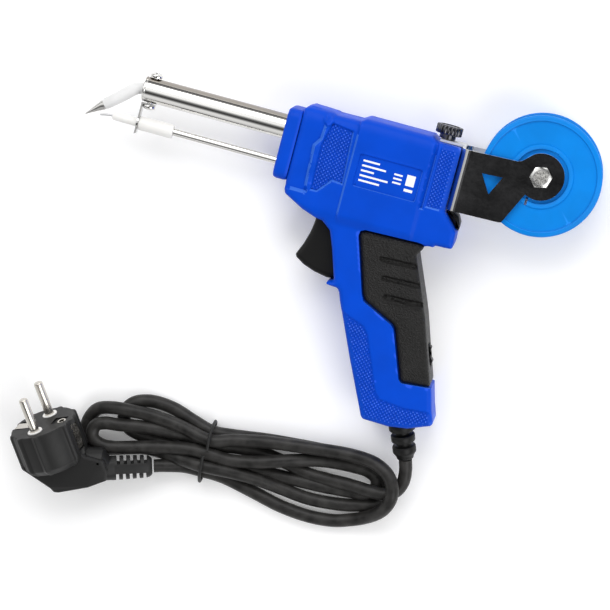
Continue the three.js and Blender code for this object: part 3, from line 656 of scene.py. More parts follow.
# polished metal in front reflects a bright window with dark edges; a dark card hangs above the rear
WINDOW = (
    (-180, 0.35), (-140, 0.2), (-98, 0.3), (-84, 0.62), (-71, 0.89), (-58, 0.93), (-50, 0.88),
    (-40, 0.26), (-31, 0.05), (-21.5, 0.08), (-12.4, 0.3), (-3.5, 0.96), (3, 1.25), (32, 1.25),
    (41.5, 1.0), (51, 0.62), (61, 0.46), (71, 0.3), (82, 0.12), (94, 0.05), (120, 0.2), (180, 0.35),
)
CARD = (
    (-180, 0.5), (-95, 0.6), (-62, 0.62), (-40, 0.2), (-28, 0.05), (22, 0.05), (34, 0.5), (46, 1.3),
    (66, 1.2), (80, 0.6), (120, 0.5), (180, 0.5),
)


def make_world():
    bpy.context.scene.view_settings.view_transform = "Standard"
    world = bpy.data.worlds.new("studio")
    world.use_nodes = True
    bpy.context.scene.world = world
    tree = world.node_tree
    split = node(tree, "SeparateXYZ", Vector=node(tree, "TexCoord").outputs["Generated"])
    lean = tree.nodes.new("ShaderNodeMath")
    lean.operation = "ARCTAN2"
    link(tree, split.outputs["Y"], lean.inputs[0])
    link(tree, split.outputs["Z"], lean.inputs[1])
    turn = node(tree, "MapRange", Value=lean.outputs["Value"], From_Min=-math.pi, From_Max=math.pi)
    angle = turn.outputs["Result"]
    rearward = between(tree, split.outputs["X"], -0.08, -0.05)
    color = mixed(tree, rearward, banded(tree, angle, WINDOW), banded(tree, angle, CARD))
    link(tree, color, tree.nodes["Background"].inputs["Color"])


# a rectangle of light that faces the part
def area_light(name, place, size, power):
    data = bpy.data.lights.new(name, "AREA")
    data.shape = "RECTANGLE"
    data.size, data.size_y = size
    data.energy = power
    light = in_scene(name, data)
    light.location = place
    light.rotation_euler = (-Vector(place)).to_track_quat("-Z", "Y").to_euler()


# the floor is a faintly lit table, as in product pictures
FLOOR_GLOW = 0.14
FLOOR_DARK = (0.92, 0.92, 0.925)
FLOOR_LIGHT = (0.94, 0.94, 0.945)


def make_floor():
    bpy.ops.mesh.primitive_plane_add(size=30, location=(0, 0, TABLE_Z - 0.0003))
    floor = bpy.context.object
    floor.name = "floor"
    material, tree, shader, coords = base_material("pale floor", FLOOR_LIGHT, 0.65, specular=0.2)
    cloud = ramp(tree, noise(tree, coords, 14, 3), 0.3, 0.7, FLOOR_DARK, FLOOR_LIGHT)
    link(tree, cloud, shader.inputs["Base Color"])
    shader.inputs["Emission Color"].default_value = (1, 1, 1, 1)
    shader.inputs["Emission Strength"].default_value = FLOOR_GLOW
    floor.data.materials.append(material)


make_world()
make_floor()
area_light("key", place=(-0.25, 0.85, 0.9), size=(1.1, 0.8), power=8)
area_light("fill", place=(0.75, -0.35, 0.9), size=(0.9, 0.9), power=8)


# ---------- casing ----------
# the handle's back, which the casing and the grip share; the grip's inside runs just within it
BACK = [(81.8, -44.3), (83.5, -48.6), (87.2, -57.1), (91.5, -67.3), (94.3, -74.1), (99.6, -89.7)]
GRIP_THICK = 3.2
INNER_BACK = [(u - GRIP_THICK, v) for u, v in BACK]
# heights above the split: the nose, the middle, the block behind it, and the handle
FRONT_TOP = 15.3
STEP_TOP = 17.1
BODY_TOP = 18.2
REAR_DROP = 0.9
HANDLE_TOP = 15.8
LABEL_DEPTH = 0.7
CROWN_R = 7.5
CASE_EDGE_R = 2.4
# outlines are in gun u and v, seen from the left side
CASE = rounded([
    (8, 13), (11.2, 14.9), (23.1, 14.5), (24.8, 13.7), (36.9, 13.9), (40.2, 16), (74, 16),
    (76.6, 13.9), (89.6, 13.8), (89.6, -19), (98, -28), (98.3, -36.6), (89.6, -37), (88.8, -38.2),
    (84.9, -38.7), *BACK, (106, -106), (109.6, -118.8), (112, -125.3), (111.3, -126.9),
    (100.2, -131.4),
    (90, -133), (76.8, -132.7), (75.5, -131.6), (62.2, -103.9), (50, -76.9), (48.6, -73),
    (47.2, -71.1), (41.2, -70.7), (41, -69.5), (44.6, -67.9), (39.1, -51.4), (36, -43.7),
    (31.1, -39.9), (26.7, -39.2), (19.8, -36.8), (9.2, -31.2), (8.5, -29.4), (8, -25.5),
], 1.6, 3)
# the rooms inside the casing
BODY_ROOM = [
    (10.6, 9), (87, 9), (87, -19), (94.5, -28.5), (94.5, -34), (82, -35.5), (30, -35.5),
    (21, -33.6), (11.6, -28.9), (10.6, -25),
]
HANDLE_ROOM = [
    (42.5, -30), (77, -30), (77, -43.4), (79.5, -48.6), (87, -67.3), (90.2, -74.1), (95.5, -89.7),
    (102, -106), (107, -122.5), (106, -125), (98, -127.6), (79, -128.6), (66, -103.9), (54, -76.9),
    (50.5, -70), (47, -58),
]
# the rubber grip, the seat that the casing leaves for it, and the handle inside it
GRIP = rounded([
    (51.5, -40), (53.7, -38.9), (81, -38), (84.9, -38.8), *BACK, (105.9, -107.6), (91.1, -108.9),
    (89.8, -107.6), (80.8, -83.5), (78.7, -81.3), (62.3, -73.5), (60.4, -70.2), (51.3, -42.3),
], 1.5, 3)
GRIP_SEAT = [
    (51.1, -39.6), (53.5, -38.4), (81, -37.5), (90, -38.3), (90, -48), (96, -66), (112, -107.1),
    (105.9, -108), (91, -109.4), (89.3, -107.9), (80.3, -83.8), (78.4, -81.8), (61.8, -73.9),
    (60, -70.5), (50.8, -42.3),
]
GRIP_CORE = [
    (40, -30), (76, -30), *INNER_BACK, (103.4, -109.5), (103, -115), (60, -115), (40, -60),
]
GRIP_HALF = 12
# where the grip wraps behind the handle, between the case's own back and the grip's outside
GRIP_BACK = [
    (77.6, -38.95), *INNER_BACK, (102.8, -107.7), (112, -107.9), (106, -89.7), (99, -67.3),
    (92, -50), (88, -43), (84.9, -38.95),
]
# knurled patches, the groove ahead of the rear one, and the rating plate's sunk field
FRONT_KNURL = [
    (23.1, 9.6), (24, 10.1), (35.5, 8.7), (36.8, -19.6), (31, -19.1), (24.8, -26.4), (20.9, -26.4),
    (20.2, -3.4),
]
REAR_KNURL = [(79.2, 20), (96, 20), (96, -19.4), (79.2, -19.4)]
GROOVE = [(77.1, 18), (78.5, 18), (78.5, -20.5), (77.1, -20.5)]
LABEL = rounded([(41.2, -1.3), (74, -1.3), (74, -18.3), (41.2, -18.3)], 1.2, 3)
HANDLE_KNURL = [
    (52.5, -80.9), (65.7, -85.8), (68.8, -89.8), (80.1, -117), (82.7, -119.6), (95.4, -120.8),
    (108.4, -119.6), (118, -127), (110, -140), (70, -140), (44, -80),
]
KNURL_PITCH = 1.5
KNURL_HEIGHT = 0.6
KNURL_DEPTH = 1.2
SHELL_SCREWS = [(15, -27.4), (83, -27), (66, -92), (84, -123.5)]
SCREW_SEAT_R = 3.4
SCREW_SEAT_W = 13.4
# the small round boss near the nose
BOSS = (21.5, 10.1)
BOSS_R = 2.4
BOSS_HEIGHT = 1.1
GROOVE_DEPTH = 0.9
# the lower field at the nose
STEP = [
    (16.6, -3.5), (19.4, 0.5), (20, 9), (22.6, 12.5), (22.6, 20), (-5, 20), (-5, -27), (18.6, -27),
    (17.6, -25),
]
# openings for the trigger, the barrel, the thumbscrew, the lead and the rocker
TRIGGER_ROOM = [(20, -27), (62, -27), (62, -71), (47.4, -71), (40, -69.6), (20, -69.6)]
TRIGGER_ROOM_HALF = 6.9
BODY_ROOM_HALF = 14
HANDLE_ROOM_HALF = 10
NOSE_BORE = 9.4
THUMBSCREW_BORE = 3.4
RELIEF_BORE = 7.1
# a reach across the gun that passes every side
THROUGH = 30
ROCKER_ROOM = [(94, -87.6), (112, -87.6), (112, -99.4), (94, -99.4)]
ROCKER_ROOM_HALF = 4.8
# where the body slopes to the handle, and the edge of the high block
CREASE = [(8, -33.6), (99, -33.6), (99, -40), (8, -40)]
BLOCK_EDGE = [(37.1, 20), (38.1, 20), (38.1, -36), (37.1, -36)]
THUMBSCREW_U = 80.8
RELIEF_TOP = (95.6, -130.4, 0)
RELIEF_LEAN = 20
RELIEF_DROP = 12


# rows of small diamonds, raised by up to the knurl's height
def knurl(points, mask):
    u, v = points[:, 0], points[:, 1]
    a = (u + v) / math.sqrt(2) / KNURL_PITCH
    b = (u - v) / math.sqrt(2) / KNURL_PITCH
    wave = (0.5 + 0.5 * np.cos(2 * math.pi * a)) * (0.5 + 0.5 * np.cos(2 * math.pi * b))
    return KNURL_HEIGHT * np.sqrt(wave) * mask


# points on the knurl's own grid, so that each diamond keeps its peak
def diamond_grid(zone):
    low = np.min(zone, axis=0)
    high = np.max(zone, axis=0)
    reach = int((high[0] - low[0] + high[1] - low[1]) / KNURL_PITCH) + 2
    step = KNURL_PITCH / 4
    middle = (low + high) / 2
    a0 = round((middle[0] + middle[1]) / math.sqrt(2) / KNURL_PITCH) * KNURL_PITCH
    b0 = round((middle[0] - middle[1]) / math.sqrt(2) / KNURL_PITCH) * KNURL_PITCH
    k = np.arange(-reach * 3, reach * 3 + 1) * step
    a, b = np.meshgrid(a0 + k, b0 + k)
    points = np.stack([(a + b).ravel(), (a - b).ravel()], axis=1) / math.sqrt(2)
    return points[inside_by(points, zone) > -0.2]


# height of a casing half's outside above the split, over gun u, v
def casing_height(label):
    def height(p, depth):
        u, v = p[:, 0], p[:, 1]
        top = FRONT_TOP + (STEP_TOP - FRONT_TOP) * smooth(-inside_by(p, STEP), 0, 1.6)
        top = top + (BODY_TOP - STEP_TOP) * smooth(u, BLOCK_EDGE[0][0], BLOCK_EDGE[1][0])
        top = top - REAR_DROP * smooth(u, 76.4, 77.2)
        slope = HANDLE_TOP + (top - HANDLE_TOP) * smooth(v, -40.5, -33.6)
        h = np.where(v > -33.6, top, slope)
        for zone in (FRONT_KNURL, REAR_KNURL, HANDLE_KNURL):
            inside = inside_by(p, zone)
            sunk = smooth(inside, 0, 1.1)
            if zone is not FRONT_KNURL:
                inside = np.minimum(inside, depth - 1.2)
                sunk = sunk * 0.6
            h = h - KNURL_DEPTH * sunk + knurl(p, smooth(inside, 0.9, 1.3))
        h = h - GROOVE_DEPTH * smooth(inside_by(p, GROOVE), -0.3, 0.5)
        h = h + BOSS_HEIGHT * smooth(BOSS_R - np.hypot(u - BOSS[0], v - BOSS[1]), -0.5, 0.5)
        if label:
            h = h - LABEL_DEPTH * smooth(inside_by(p, LABEL), 0, 0.3)
        crowned = np.where((v > 2) & (u < 90), 1, 0)
        below_top = np.maximum(np.where(u > 37, 16, 14.4) - v, 0)
        h = h - crowned * rounding(below_top, CROWN_R) * 0.62
        return h - rounding(depth, CASE_EDGE_R) * np.where(crowned == 1, 0.75, 1)
    return height


def prism(outline, w0, w1):
    return skin([[at(u, v, w0) for u, v in outline], [at(u, v, w1) for u, v in outline]])


def rod_along(axis, r, start, end, centre, segments=32):
    axes = {"u": (1, 0, 0), "v": (0, 1, 0), "w": (0, 0, 1)}
    return turned([(r, start), (r, end)], centre, axes[axis], segments)


def relief_axis():
    down = Matrix.Rotation(math.radians(RELIEF_DROP), 3, "X") @ Vector((0, 1, 0))
    return Matrix.Rotation(math.radians(RELIEF_LEAN), 3, "Z") @ down


KNURL_EDGE = 0.9
LEDGE_MIN_W = 13
LEDGE_MAX_V = 7.5
LEDGE_INSET = 2.7


# knurled faces take the knurl's blue with painted light and shade, and ledges on the outside that
# face up or forward, toward the key light, take a lighter blue, a painted highlight
def paint_light_on_faces(half, side, knurls):
    half.data.materials.append(KNURL_LIT_SHADED_BLUE)
    half.data.materials.append(LIT_LEDGE_BLUE)
    faces = half.data.polygons
    middles = np.array([((face.center - ORIGIN) / MM)[:2] for face in faces])
    # faces in the knurled patches take the knurl's blue with its painted light and shade
    knurled = np.max([inside_by(middles, zone) for zone in knurls], axis=0) > KNURL_EDGE
    outside = np.array([side * (face.center.z - ORIGIN.z) / MM > LEDGE_MIN_W for face in faces])
    # faces turned up and forward, toward the key light, are picked for the painted highlight
    toward_key_light = np.array([face.normal.y * 0.85 - face.normal.x * 0.5 for face in faces])
    lit_ledge = outside & ~knurled & (toward_key_light > 0.3) & (middles[:, 1] < LEDGE_MAX_V)
    lit_ledge &= inside_by(middles, CASE) > LEDGE_INSET
    faces.foreach_set("material_index", knurled.astype(np.int32) + 2 * lit_ledge.astype(np.int32))


def casing_half(name, cad_node, side):
    knurls = [FRONT_KNURL, REAR_KNURL, HANDLE_KNURL]
    lines = [(zone, 1.1) for zone in knurls]
    lines += [(GROOVE, 0.4), (LABEL, 0.3), (STEP[::-1], -1.6), (CREASE, 0.8), (BLOCK_EDGE, 0.3)]
    solid = relief_plate(CASE, casing_height(side > 0), 0.05, 0.9, knurls, side, lines)
    cutters = [
        prism(rounded(GRIP_SEAT, 1.5, 3), side * (GRIP_HALF - 0.1), side * THROUGH),
        prism(GRIP_BACK, -GRIP_HALF - 0.05, GRIP_HALF + 0.05),
        prism(BODY_ROOM, -BODY_ROOM_HALF, BODY_ROOM_HALF),
        prism(HANDLE_ROOM, -HANDLE_ROOM_HALF, HANDLE_ROOM_HALF),
        prism(TRIGGER_ROOM, -TRIGGER_ROOM_HALF, TRIGGER_ROOM_HALF),
        rod_along("u", NOSE_BORE, 5, 14, (0, 0, 0)),
        rod_along("v", THUMBSCREW_BORE, 8, 18, (THUMBSCREW_U, 0, 0)),
        prism(ROCKER_ROOM, -ROCKER_ROOM_HALF, ROCKER_ROOM_HALF),
        turned([(RELIEF_BORE, -8), (RELIEF_BORE, 9)], RELIEF_TOP, relief_axis(), 32),
    ]
    if side < 0:
        for u, v in SHELL_SCREWS:
            cutters.append(rod_along("w", SCREW_SEAT_R, -THROUGH, -SCREW_SEAT_W, (u, v, 0)))
    half = cut(name, solid, cutters, BLUE, "gun", "blue_plastic", 32)
    paint_light_on_faces(half, side, knurls)
    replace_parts(half, cad_node)


casing_half("casing_left", "left_shell", 1)
casing_half("casing_right", "right_shell", -1)


# ---------- blank printing on the rating plate ----------
ROW_LENGTHS = (8.6, 12.4, 6.8, 14.6, 10.8)
ROW_PITCH = 2.55
ROW_HEIGHT = 0.95
FIRST_ROW = (43.6, -3.9)
# each from its upper front corner to its lower rear one
SIDE_BARS = [(60.4, top, 64.8, top - 0.9) for top in (-6.6, -8.7, -10.8)]
SIDE_BLOCKS = [(67, -5.6, 71.4, -11.2), (67, -12.8, 71.4, -14.2)]
INK_TOP = 17.58
INK_DEPTH = 0.25


def make_printing():
    left, first = FIRST_ROW
    tops = [first - i * ROW_PITCH for i in range(len(ROW_LENGTHS))]
    bars = [(left, top, left + length, top - ROW_HEIGHT) for top, length in zip(tops, ROW_LENGTHS)]
    parts = [prism([(u0, v0), (u1, v0), (u1, v1), (u0, v1)], INK_TOP - INK_DEPTH, INK_TOP)
             for u0, v0, u1, v1 in bars + SIDE_BARS + SIDE_BLOCKS]
    new_object("plate_printing", *together(parts), INK, "gun", "white_ptfe")


make_printing()


# ---------- nose collar ----------
FEED_V = -17.8


def rounded_box(half_u, half_v, radius, segments=8):
    loop = []
    for sx, sy, start in ((1, 1, 0), (-1, 1, 90), (-1, -1, 180), (1, -1, 270)):
        for s in range(segments + 1):
            angle = math.radians(start + 90 * s / segments)
            loop.append((sx * (half_u - radius) + radius * math.cos(angle),
                         sy * (half_v - radius) + radius * math.sin(angle)))
    return loop


COLLAR_TOP = 11.3
COLLAR_BOTTOM = -25.4
COLLAR_HALF_W = 14.6
COLLAR_CORNER = 4.6
# how far the outline draws in along u
COLLAR_STATIONS = (
    (0.3, 1.9), (0.38, 1.3), (0.65, 0.8), (1.15, 0.35), (1.9, 0.1), (2.6, 0), (5.9, 0), (6.9, 0.1),
    (7.7, 0.6),
)
BARREL_BORE = 7
TUBE_BORE = 2.6


def make_collar():
    middle = (COLLAR_TOP + COLLAR_BOTTOM) / 2
    half_v = (COLLAR_TOP - COLLAR_BOTTOM) / 2
    loops = []
    for u, inset in COLLAR_STATIONS:
        loop = rounded_box(half_v - inset, COLLAR_HALF_W - inset, COLLAR_CORNER - inset * 0.5)
        loops.append([at(u, middle + v, w) for v, w in loop])
    bores = [rod_along("u", BARREL_BORE, -3, 12, (0, 0, 0), 64),
             rod_along("u", TUBE_BORE, -3, 12, (0, FEED_V, 0))]
    collar = cut("nose_ring", skin(loops), bores, BLUE, "gun", "blue_plastic", 40)
    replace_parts(collar, "nose_collar")


# ---------- rubber grip ----------
GRIP_TOP = 16
GRIP_GROOVES = [(64.2, -49.4), (67.6, -58.5), (71, -67.5)]
GROOVE_HALF = 1.25
GRIP_SLOT = [(93, -87.7), (112, -87.7), (112, -99.3), (93, -99.3)]
GRIP_SLOT_HALF = 4.7


# finger grooves that open to the rear, each with a raised lip along its lower side
def groove_depth(p):
    deepest = np.zeros(len(p))
    for u, v in GRIP_GROOVES:
        along = (p[:, 0] - u) / 24
        across = p[:, 1] - (v - GROOVE_HALF + 1.1 * along)
        end = np.hypot(np.maximum(u + GROOVE_HALF - p[:, 0], 0), across)
        floor = smooth(GROOVE_HALF - end, -0.35, 0.75)
        lip = 0.45 * np.exp(-((across + GROOVE_HALF + 0.9) / 0.6) ** 2) * smooth(p[:, 0], u, u + 3)
        deepest = np.maximum(deepest, 1.5 * floor) - lip
    return deepest


def grip_height(p, depth):
    return GRIP_TOP - rounding(depth, 2.8) - groove_depth(p) * smooth(depth, 0.2, 0.9)


# both faces of a piece from one outline, meeting at the split plane
def two_sided(outline, height, step):
    halves = [relief_plate(outline, height, 0, step, sign=side) for side in (1, -1)]
    return together([(vertices, faces[:-1]) for vertices, faces in halves])


def make_grip():
    slot = prism(GRIP_SLOT, -GRIP_SLOT_HALF, GRIP_SLOT_HALF)
    core = prism(GRIP_CORE, -GRIP_HALF - 0.02, GRIP_HALF + 0.02)
    solid = two_sided(GRIP, grip_height, 0.55)
    grip = cut("grip_cover", solid, [core, slot], RUBBER, "gun", "black_rubber", 40)
    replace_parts(grip, "rubber_grip")


# ---------- trigger and rocker ----------
TRIGGER = rounded([
    (26.9, -38.5), (26.7, -43.2), (25.9, -48.4), (24, -55), (21.4, -61.1), (22.4, -62.6),
    (26.8, -65.3), (33.1, -67.4), (40, -68.6), (44.4, -67.9), (47.4, -60), (45, -50), (42.5, -38),
    (42.6, -31.5), (38.5, -28.6), (33.5, -29.5), (31, -33), (29, -37),
], 1.2, 3)


TRIGGER_HALF = 6.35
TRIGGER_PIN = (37, -33, 0)
ROCKER = rounded([
    (-2.2, -1.2), (-2.2, 1.2), (2.2, 3.6), (4.4, 4.3), (5, 3.4), (3.3, 0), (5, -3.4), (4.4, -4.3),
    (2.2, -3.6),
], 1.0, 4)
ROCKER_AT = (97.6, -94.4)
ROCKER_LEAN = math.radians(20)
ROCKER_HALF = 4.2
TAIL_LENS = rounded([
    (90.2, -19.4), (92, -18.8), (94, -18.7), (97, -20.6), (98.6, -23.8), (98.8, -28.4),
], 1.5, 4)


def make_trigger():
    def height(p, depth):
        return TRIGGER_HALF - rounding(depth, 2.4)

    bore = rod_along("w", 1.9, -9, 9, TRIGGER_PIN)
    solid = two_sided(TRIGGER, height, 0.9)
    piece = cut("trigger_cap", solid, [bore], BLACK, "trigger", "black_plastic", 45)
    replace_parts(piece, "trigger")


def make_rocker():
    cos, sin = math.cos(ROCKER_LEAN), math.sin(ROCKER_LEAN)
    u0, v0 = ROCKER_AT
    placed = [(u0 + u * cos - v * sin, v0 + u * sin + v * cos) for u, v in ROCKER]
    solid = rounded_plate(placed, -ROCKER_HALF, ROCKER_HALF, 0.7)
    rocker = new_object("rocker_cap", *solid, BLACK, "rocker", "black_plastic", 40)
    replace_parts(rocker, "power_rocker")


def make_bumper():
    solid = rounded_plate(TAIL_LENS, -8, 8, 1.6)
    bumper = new_object("tail_lens", *solid, BLACK, "gun", "black_plastic", 45)
    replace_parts(bumper, "tail_bumper")


# ---------- barrel, tip and feed ----------
BARREL_R = 6.45
BARREL_WALL = 0.85
BARREL_REAR = 8
SCREW_U = -70.7
SCREW_R = 3.3
STEM_R = 1.4
# the rolled mouth and the fine ring behind it: distance under the barrel's radius and from its front
BARREL_MOUTH = (
    (BARREL_WALL, 0.3), (0.55, 0), (0.25, 0.05), (0.05, 0.3), (0, 0.6), (0, 0.95), (0.14, 1.15),
    (0.14, 1.35), (0, 1.55),
)
SHANK = [
    (-58, 0), (-68, 0), (-74, 0), (-77.4, -0.5), (-80.2, -1.8), (-83.4, -4.7), (-87.9, -8.8),
    (-93.2, -13.3),
]
CONE_LENGTH = 10.4
NOZZLE = [
    (0.95, -87.5), (1.35, -87.75), (1.75, -87.6), (2.05, -87), (2.25, -80), (2.3, -74.4),
    (2.7, -73.9), (3.3, -73.6), (3.62, -73), (3.65, -60), (3.6, -56), (3.3, -55.5), (2.35, -55.4),
    (2.3, -68), (0.95, -68),
]
FEED_PIPE = [(1.2, -67.7), (2, -67.7), (2, 44), (1.2, 44)]
FEED_ROUTE = (
    (-94.2, -18.9), (-90, FEED_V - 0.2), (-84, FEED_V), (-40, FEED_V), (10, FEED_V), (60, FEED_V),
    (78, -17.2), (91, -14.4), (104, -13.9), (116, -11.6), (130.5, -7.5),
)
WIRE_R = 0.6


def make_barrel():
    profile = [(BARREL_R - under, BARREL_FRONT + back) for under, back in BARREL_MOUTH]
    profile += [(BARREL_R, BARREL_REAR), (BARREL_R - BARREL_WALL, BARREL_REAR)]
    solid = turned(profile, (0, 0, 0), (1, 0, 0), 128, closed=True)
    bore = rod_along("v", 1.85, -8, 8, (SCREW_U, 0, 0))
    barrel = cut("barrel_sleeve", solid, [bore], BARREL_CHROME_DARK_TOP, "gun", "chrome", 30)
    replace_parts(barrel, "barrel_tube")


# a frosted shank that swells toward its bend, then a plated cone from its cut end
def make_tip():
    centre = spline([at(u, v) for u, v in SHANK], 8)
    along = [max(0, i / len(centre) - 0.35) / 0.65 for i in range(len(centre))]
    radii = [(2.85 + 0.3 * math.sin(math.pi * t)) * MM for t in along]
    radii[-1] = 2.6 * MM
    tip = new_object("bent_tip", *tube(centre, radii, 48), FROSTED, "gun", "tip_metal", 40)
    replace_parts(tip, "soldering_tip")
    last = (centre[-1] - centre[-2]).normalized()
    profile = [(-0.6, 2.3), (0.05, 2.45), (0.25, 2.62), (0.9, 2.6)]
    for s in (0.1, 0.3, 0.5, 0.7, 0.85, 0.95):
        profile.append((0.9 + CONE_LENGTH * s, 2.35 * (1 - s) + 0.25))
    profile += [(0.9 + CONE_LENGTH * 0.99, 0.22), (0.9 + CONE_LENGTH, 0.08)]
    route = [centre[-1] + last * h * MM for h, r in profile]
    cone = tube(route, [r * MM for h, r in profile], 48)
    new_object("tip_cone", *cone, TIP_PLATE, "gun", "tip_metal", 40)


# cross-slotted pan heads above and below the barrel; the lower one stands on a taller stem
def make_screws():
    for name, way, rise in (("tip_screw_top", 1, 0), ("tip_screw_bottom", -1, 0.9)):
        profile = [(STEM_R, 1.4), (STEM_R, 3), (STEM_R, 6.8 + rise)]
        profile += [(SCREW_R - 0.1, 6.85 + rise), (SCREW_R, 7.1 + rise)]
        for a in (0, 15, 30, 45, 60, 75, 88):
            turn = math.radians(a)
            profile.append((SCREW_R * math.cos(turn), 7.9 + rise + 1.5 * math.sin(turn)))
        solid = turned(profile, (SCREW_U, 0, 0), (0, way, 0), 48)
        slots = []
        for du, dw in ((2.3, 0.38), (0.38, 2.3)):
            corners = ((-du, 8.5 + rise), (du, 8.5 + rise), (du, 12), (-du, 12))
            slots.append(prism([(SCREW_U + u, way * v) for u, v in corners], -dw, dw))
        head = cut(name.replace("tip_", "pan_"), solid, slots, CHROME, "gun", "chrome", 35)
        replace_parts(head, name)


def make_feed():
    nozzle = turned(NOZZLE, (0, FEED_V, 0), (1, 0, 0), 64, closed=True)
    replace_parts(new_object("feed_tip", *nozzle, PTFE, "gun", "white_ptfe", 40), "feed_nozzle")
    pipe = turned(FEED_PIPE, (0, FEED_V, 0), (1, 0, 0), 48, closed=True)
    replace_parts(new_object("feed_pipe", *pipe, CHROME, "gun", "chrome", 35), "feed_tube")
    wire = tube(spline([at(u, v) for u, v in FEED_ROUTE], 10), WIRE_R * MM, 16)
    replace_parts(new_object("feed_wire", *wire, SOLDER, "gun", "solder", 50), "solder_wire")


# ---------- reel ----------
REEL = (131.8, 10.5, 0)
FLANGE = [
    (4.3, 12), (11.6, 12), (12, 11.8), (12.2, 11.2), (13.7, 11.2), (13.9, 11.9), (14.2, 12.1),
    (15.9, 12.1), (16.3, 11.8), (16.6, 11.3), (17, 11.28), (17.8, 11.26), (26.6, 11.12),
    (27.3, 11.1), (27.6, 11.1), (27.9, 11.2), (28.1, 11.9), (28.4, 12.05), (29, 11.85),
    (29.7, 11.85), (30.3, 11.6), (30.7, 11.1), (30.8, 10.5), (30.65, 9.9), (30.2, 9.6), (13.2, 9.6),
]
HUB_R = 13.3
HUB_GAP = 0.62
WINDING_LAYERS = 3
LAYER_RISE = 1.1
WINDING_TURNS = 15
WINDING_PITCH = 1.24
WINDING_WIRE_R = 0.615
RING_STEPS = 72
WIRE_STEPS = 10


def make_reel():
    profile = [(r, -h) for r, h in FLANGE] + FLANGE[::-1]
    solid = turned(profile, REEL, (0, 0, 1), 160, closed=True)
    end_slot = prism([(127, -5.5), (128.3, -5.5), (128.4, -1.3), (127.2, -1.3)], 8, 14)
    notch = prism([(134.2, 20.8), (136.4, 20), (137.6, 23.6), (135.4, 24.4)], 11.25, 14)
    reel = cut("reel_spool", solid, [end_slot, notch], REEL_BLUE, "reel", "reel_plastic", 35)
    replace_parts(reel, "solder_reel")


# rings of wire side by side, each layer a turn shorter than the one under it
def make_winding():
    wire = [(WINDING_WIRE_R * math.cos(a), WINDING_WIRE_R * math.sin(a)) for a in circle(WIRE_STEPS)]
    rings = []
    for layer in range(WINDING_LAYERS):
        r = HUB_R + HUB_GAP + layer * LAYER_RISE
        count = WINDING_TURNS - layer
        for k in range(count):
            w = (k - (count - 1) / 2) * WINDING_PITCH
            ring = [(r + out, w + up) for out, up in wire]
            rings.append(turned(ring, REEL, (0, 0, 1), RING_STEPS, closed=True))
    winding = new_object("solder_turns", *together(rings), SOLDER, "reel", "solder", 60)
    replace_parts(winding, "solder_winding")


# ---------- bracket, bolt and thumbscrew ----------
ARM_IN = 13
PLATE = 1.5
BRACKET_BASE = 90
BRACKET_BEND = 4.2
BRACKET_WINDOW = [(102.8, 4.6), (113.4, 5.2), (108.6, -4.8)]
TAB = ((77.8, -7.5), (91.2, -7.5), (91.2, 7.5), (77.8, 7.5))
TAB_LOW, TAB_TOP = 14.15, 15.35
TAB_RISE = [(BRACKET_BASE, 12.6), (91.5, 12.6), (91.5, TAB_TOP), (BRACKET_BASE, TAB_TOP)]


def arc(centre, r, start, end, count):
    turns = [math.radians(start + (end - start) * i / count) for i in range(count + 1)]
    return [(centre[0] + r * math.cos(turn), centre[1] + r * math.sin(turn)) for turn in turns]


# the strip's path seen from above: along the near arm, round both bends, back along the far arm
def channel():
    outer = ARM_IN + PLATE
    middle = BRACKET_BASE + BRACKET_BEND
    far, held = 150, middle + 0.3
    near_bend, far_bend = (middle, outer - BRACKET_BEND), (middle, -outer + BRACKET_BEND)
    inner_bend = BRACKET_BEND - PLATE
    loop = [(far, outer), (held, outer), *arc(near_bend, BRACKET_BEND, 90, 180, 8)]
    loop += [*arc(far_bend, BRACKET_BEND, 180, 270, 8), (held, -outer), (far, -outer)]
    loop += [(far, -ARM_IN), (held, -ARM_IN), *arc(far_bend, inner_bend, 270, 180, 8)]
    loop += [*arc(near_bend, inner_bend, 180, 90, 8), (held, ARM_IN), (far, ARM_IN)]
    return skin([[at(u, v, w) for u, w in loop] for v in (-30, 40)])


def bracket_side():
    return [
        (85, 14.1), (94, 14.1), (118.6, 15.1), (120.6, 15.9), (125.6, 20.6),
        *arc(REEL, 11.9, 121, -117, 36), (118.4, -16.9), (116.8, -17.2), (94.8, -17.8), (85, -17.8),
    ]


def make_bracket():
    steps = [
        ("INTERSECT", prism(bracket_side(), -THROUGH, THROUGH)),
        ("DIFFERENCE", prism(BRACKET_WINDOW, -THROUGH, THROUGH)),
        ("DIFFERENCE", rod_along("w", 3.3, -THROUGH, THROUGH, REEL, 48)),
        ("DIFFERENCE", rod_along("u", 3, 85, 95, (0, -14.4, 0))),
        ("UNION", skin([[at(u, v, w) for u, w in TAB] for v in (TAB_LOW, TAB_TOP)])),
        ("UNION", prism(TAB_RISE, -7.5, 7.5)),
        ("DIFFERENCE", rod_along("v", 2.4, 10, 20, (THUMBSCREW_U, 0, 0))),
    ]
    bracket = combined("u_bracket", channel(), steps, BRACKET, "gun", "steel", 18, 0.22)
    # the inside is satin and lighter, a painted highlight, and the arms' flat outer faces are
    # darkened, a painted reflection of a darker part of the room
    bracket.data.materials.append(LIT_SATIN)
    bracket.data.materials.append(DARK_REFLECTION_FACE)
    inner = at(0, 0, ARM_IN + 0.2).z
    for face in bracket.data.polygons:
        # flat outer faces take the darkened steel, a painted reflection; the inside takes the
        # lighter satin steel, a painted highlight
        if abs(face.normal.z) > 0.99 and abs(face.center.z - AXIS.z) > inner - AXIS.z:
            face.material_index = 2
        elif face.center.z < inner and face.center.x > at(95, 0).x or face.center.y > at(0, 14).y:
            face.material_index = 1
    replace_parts(bracket, "reel_bracket")


BOLT_ACROSS = 10
BOLT_TURN = 12
BOLT_LOW, BOLT_TOP = 15.3, 17.6
BOLT_END_RINGS = [(3.9, 17.4), (3.9, 17.95), (3.6, 18.25), (0.4, 18.35)]


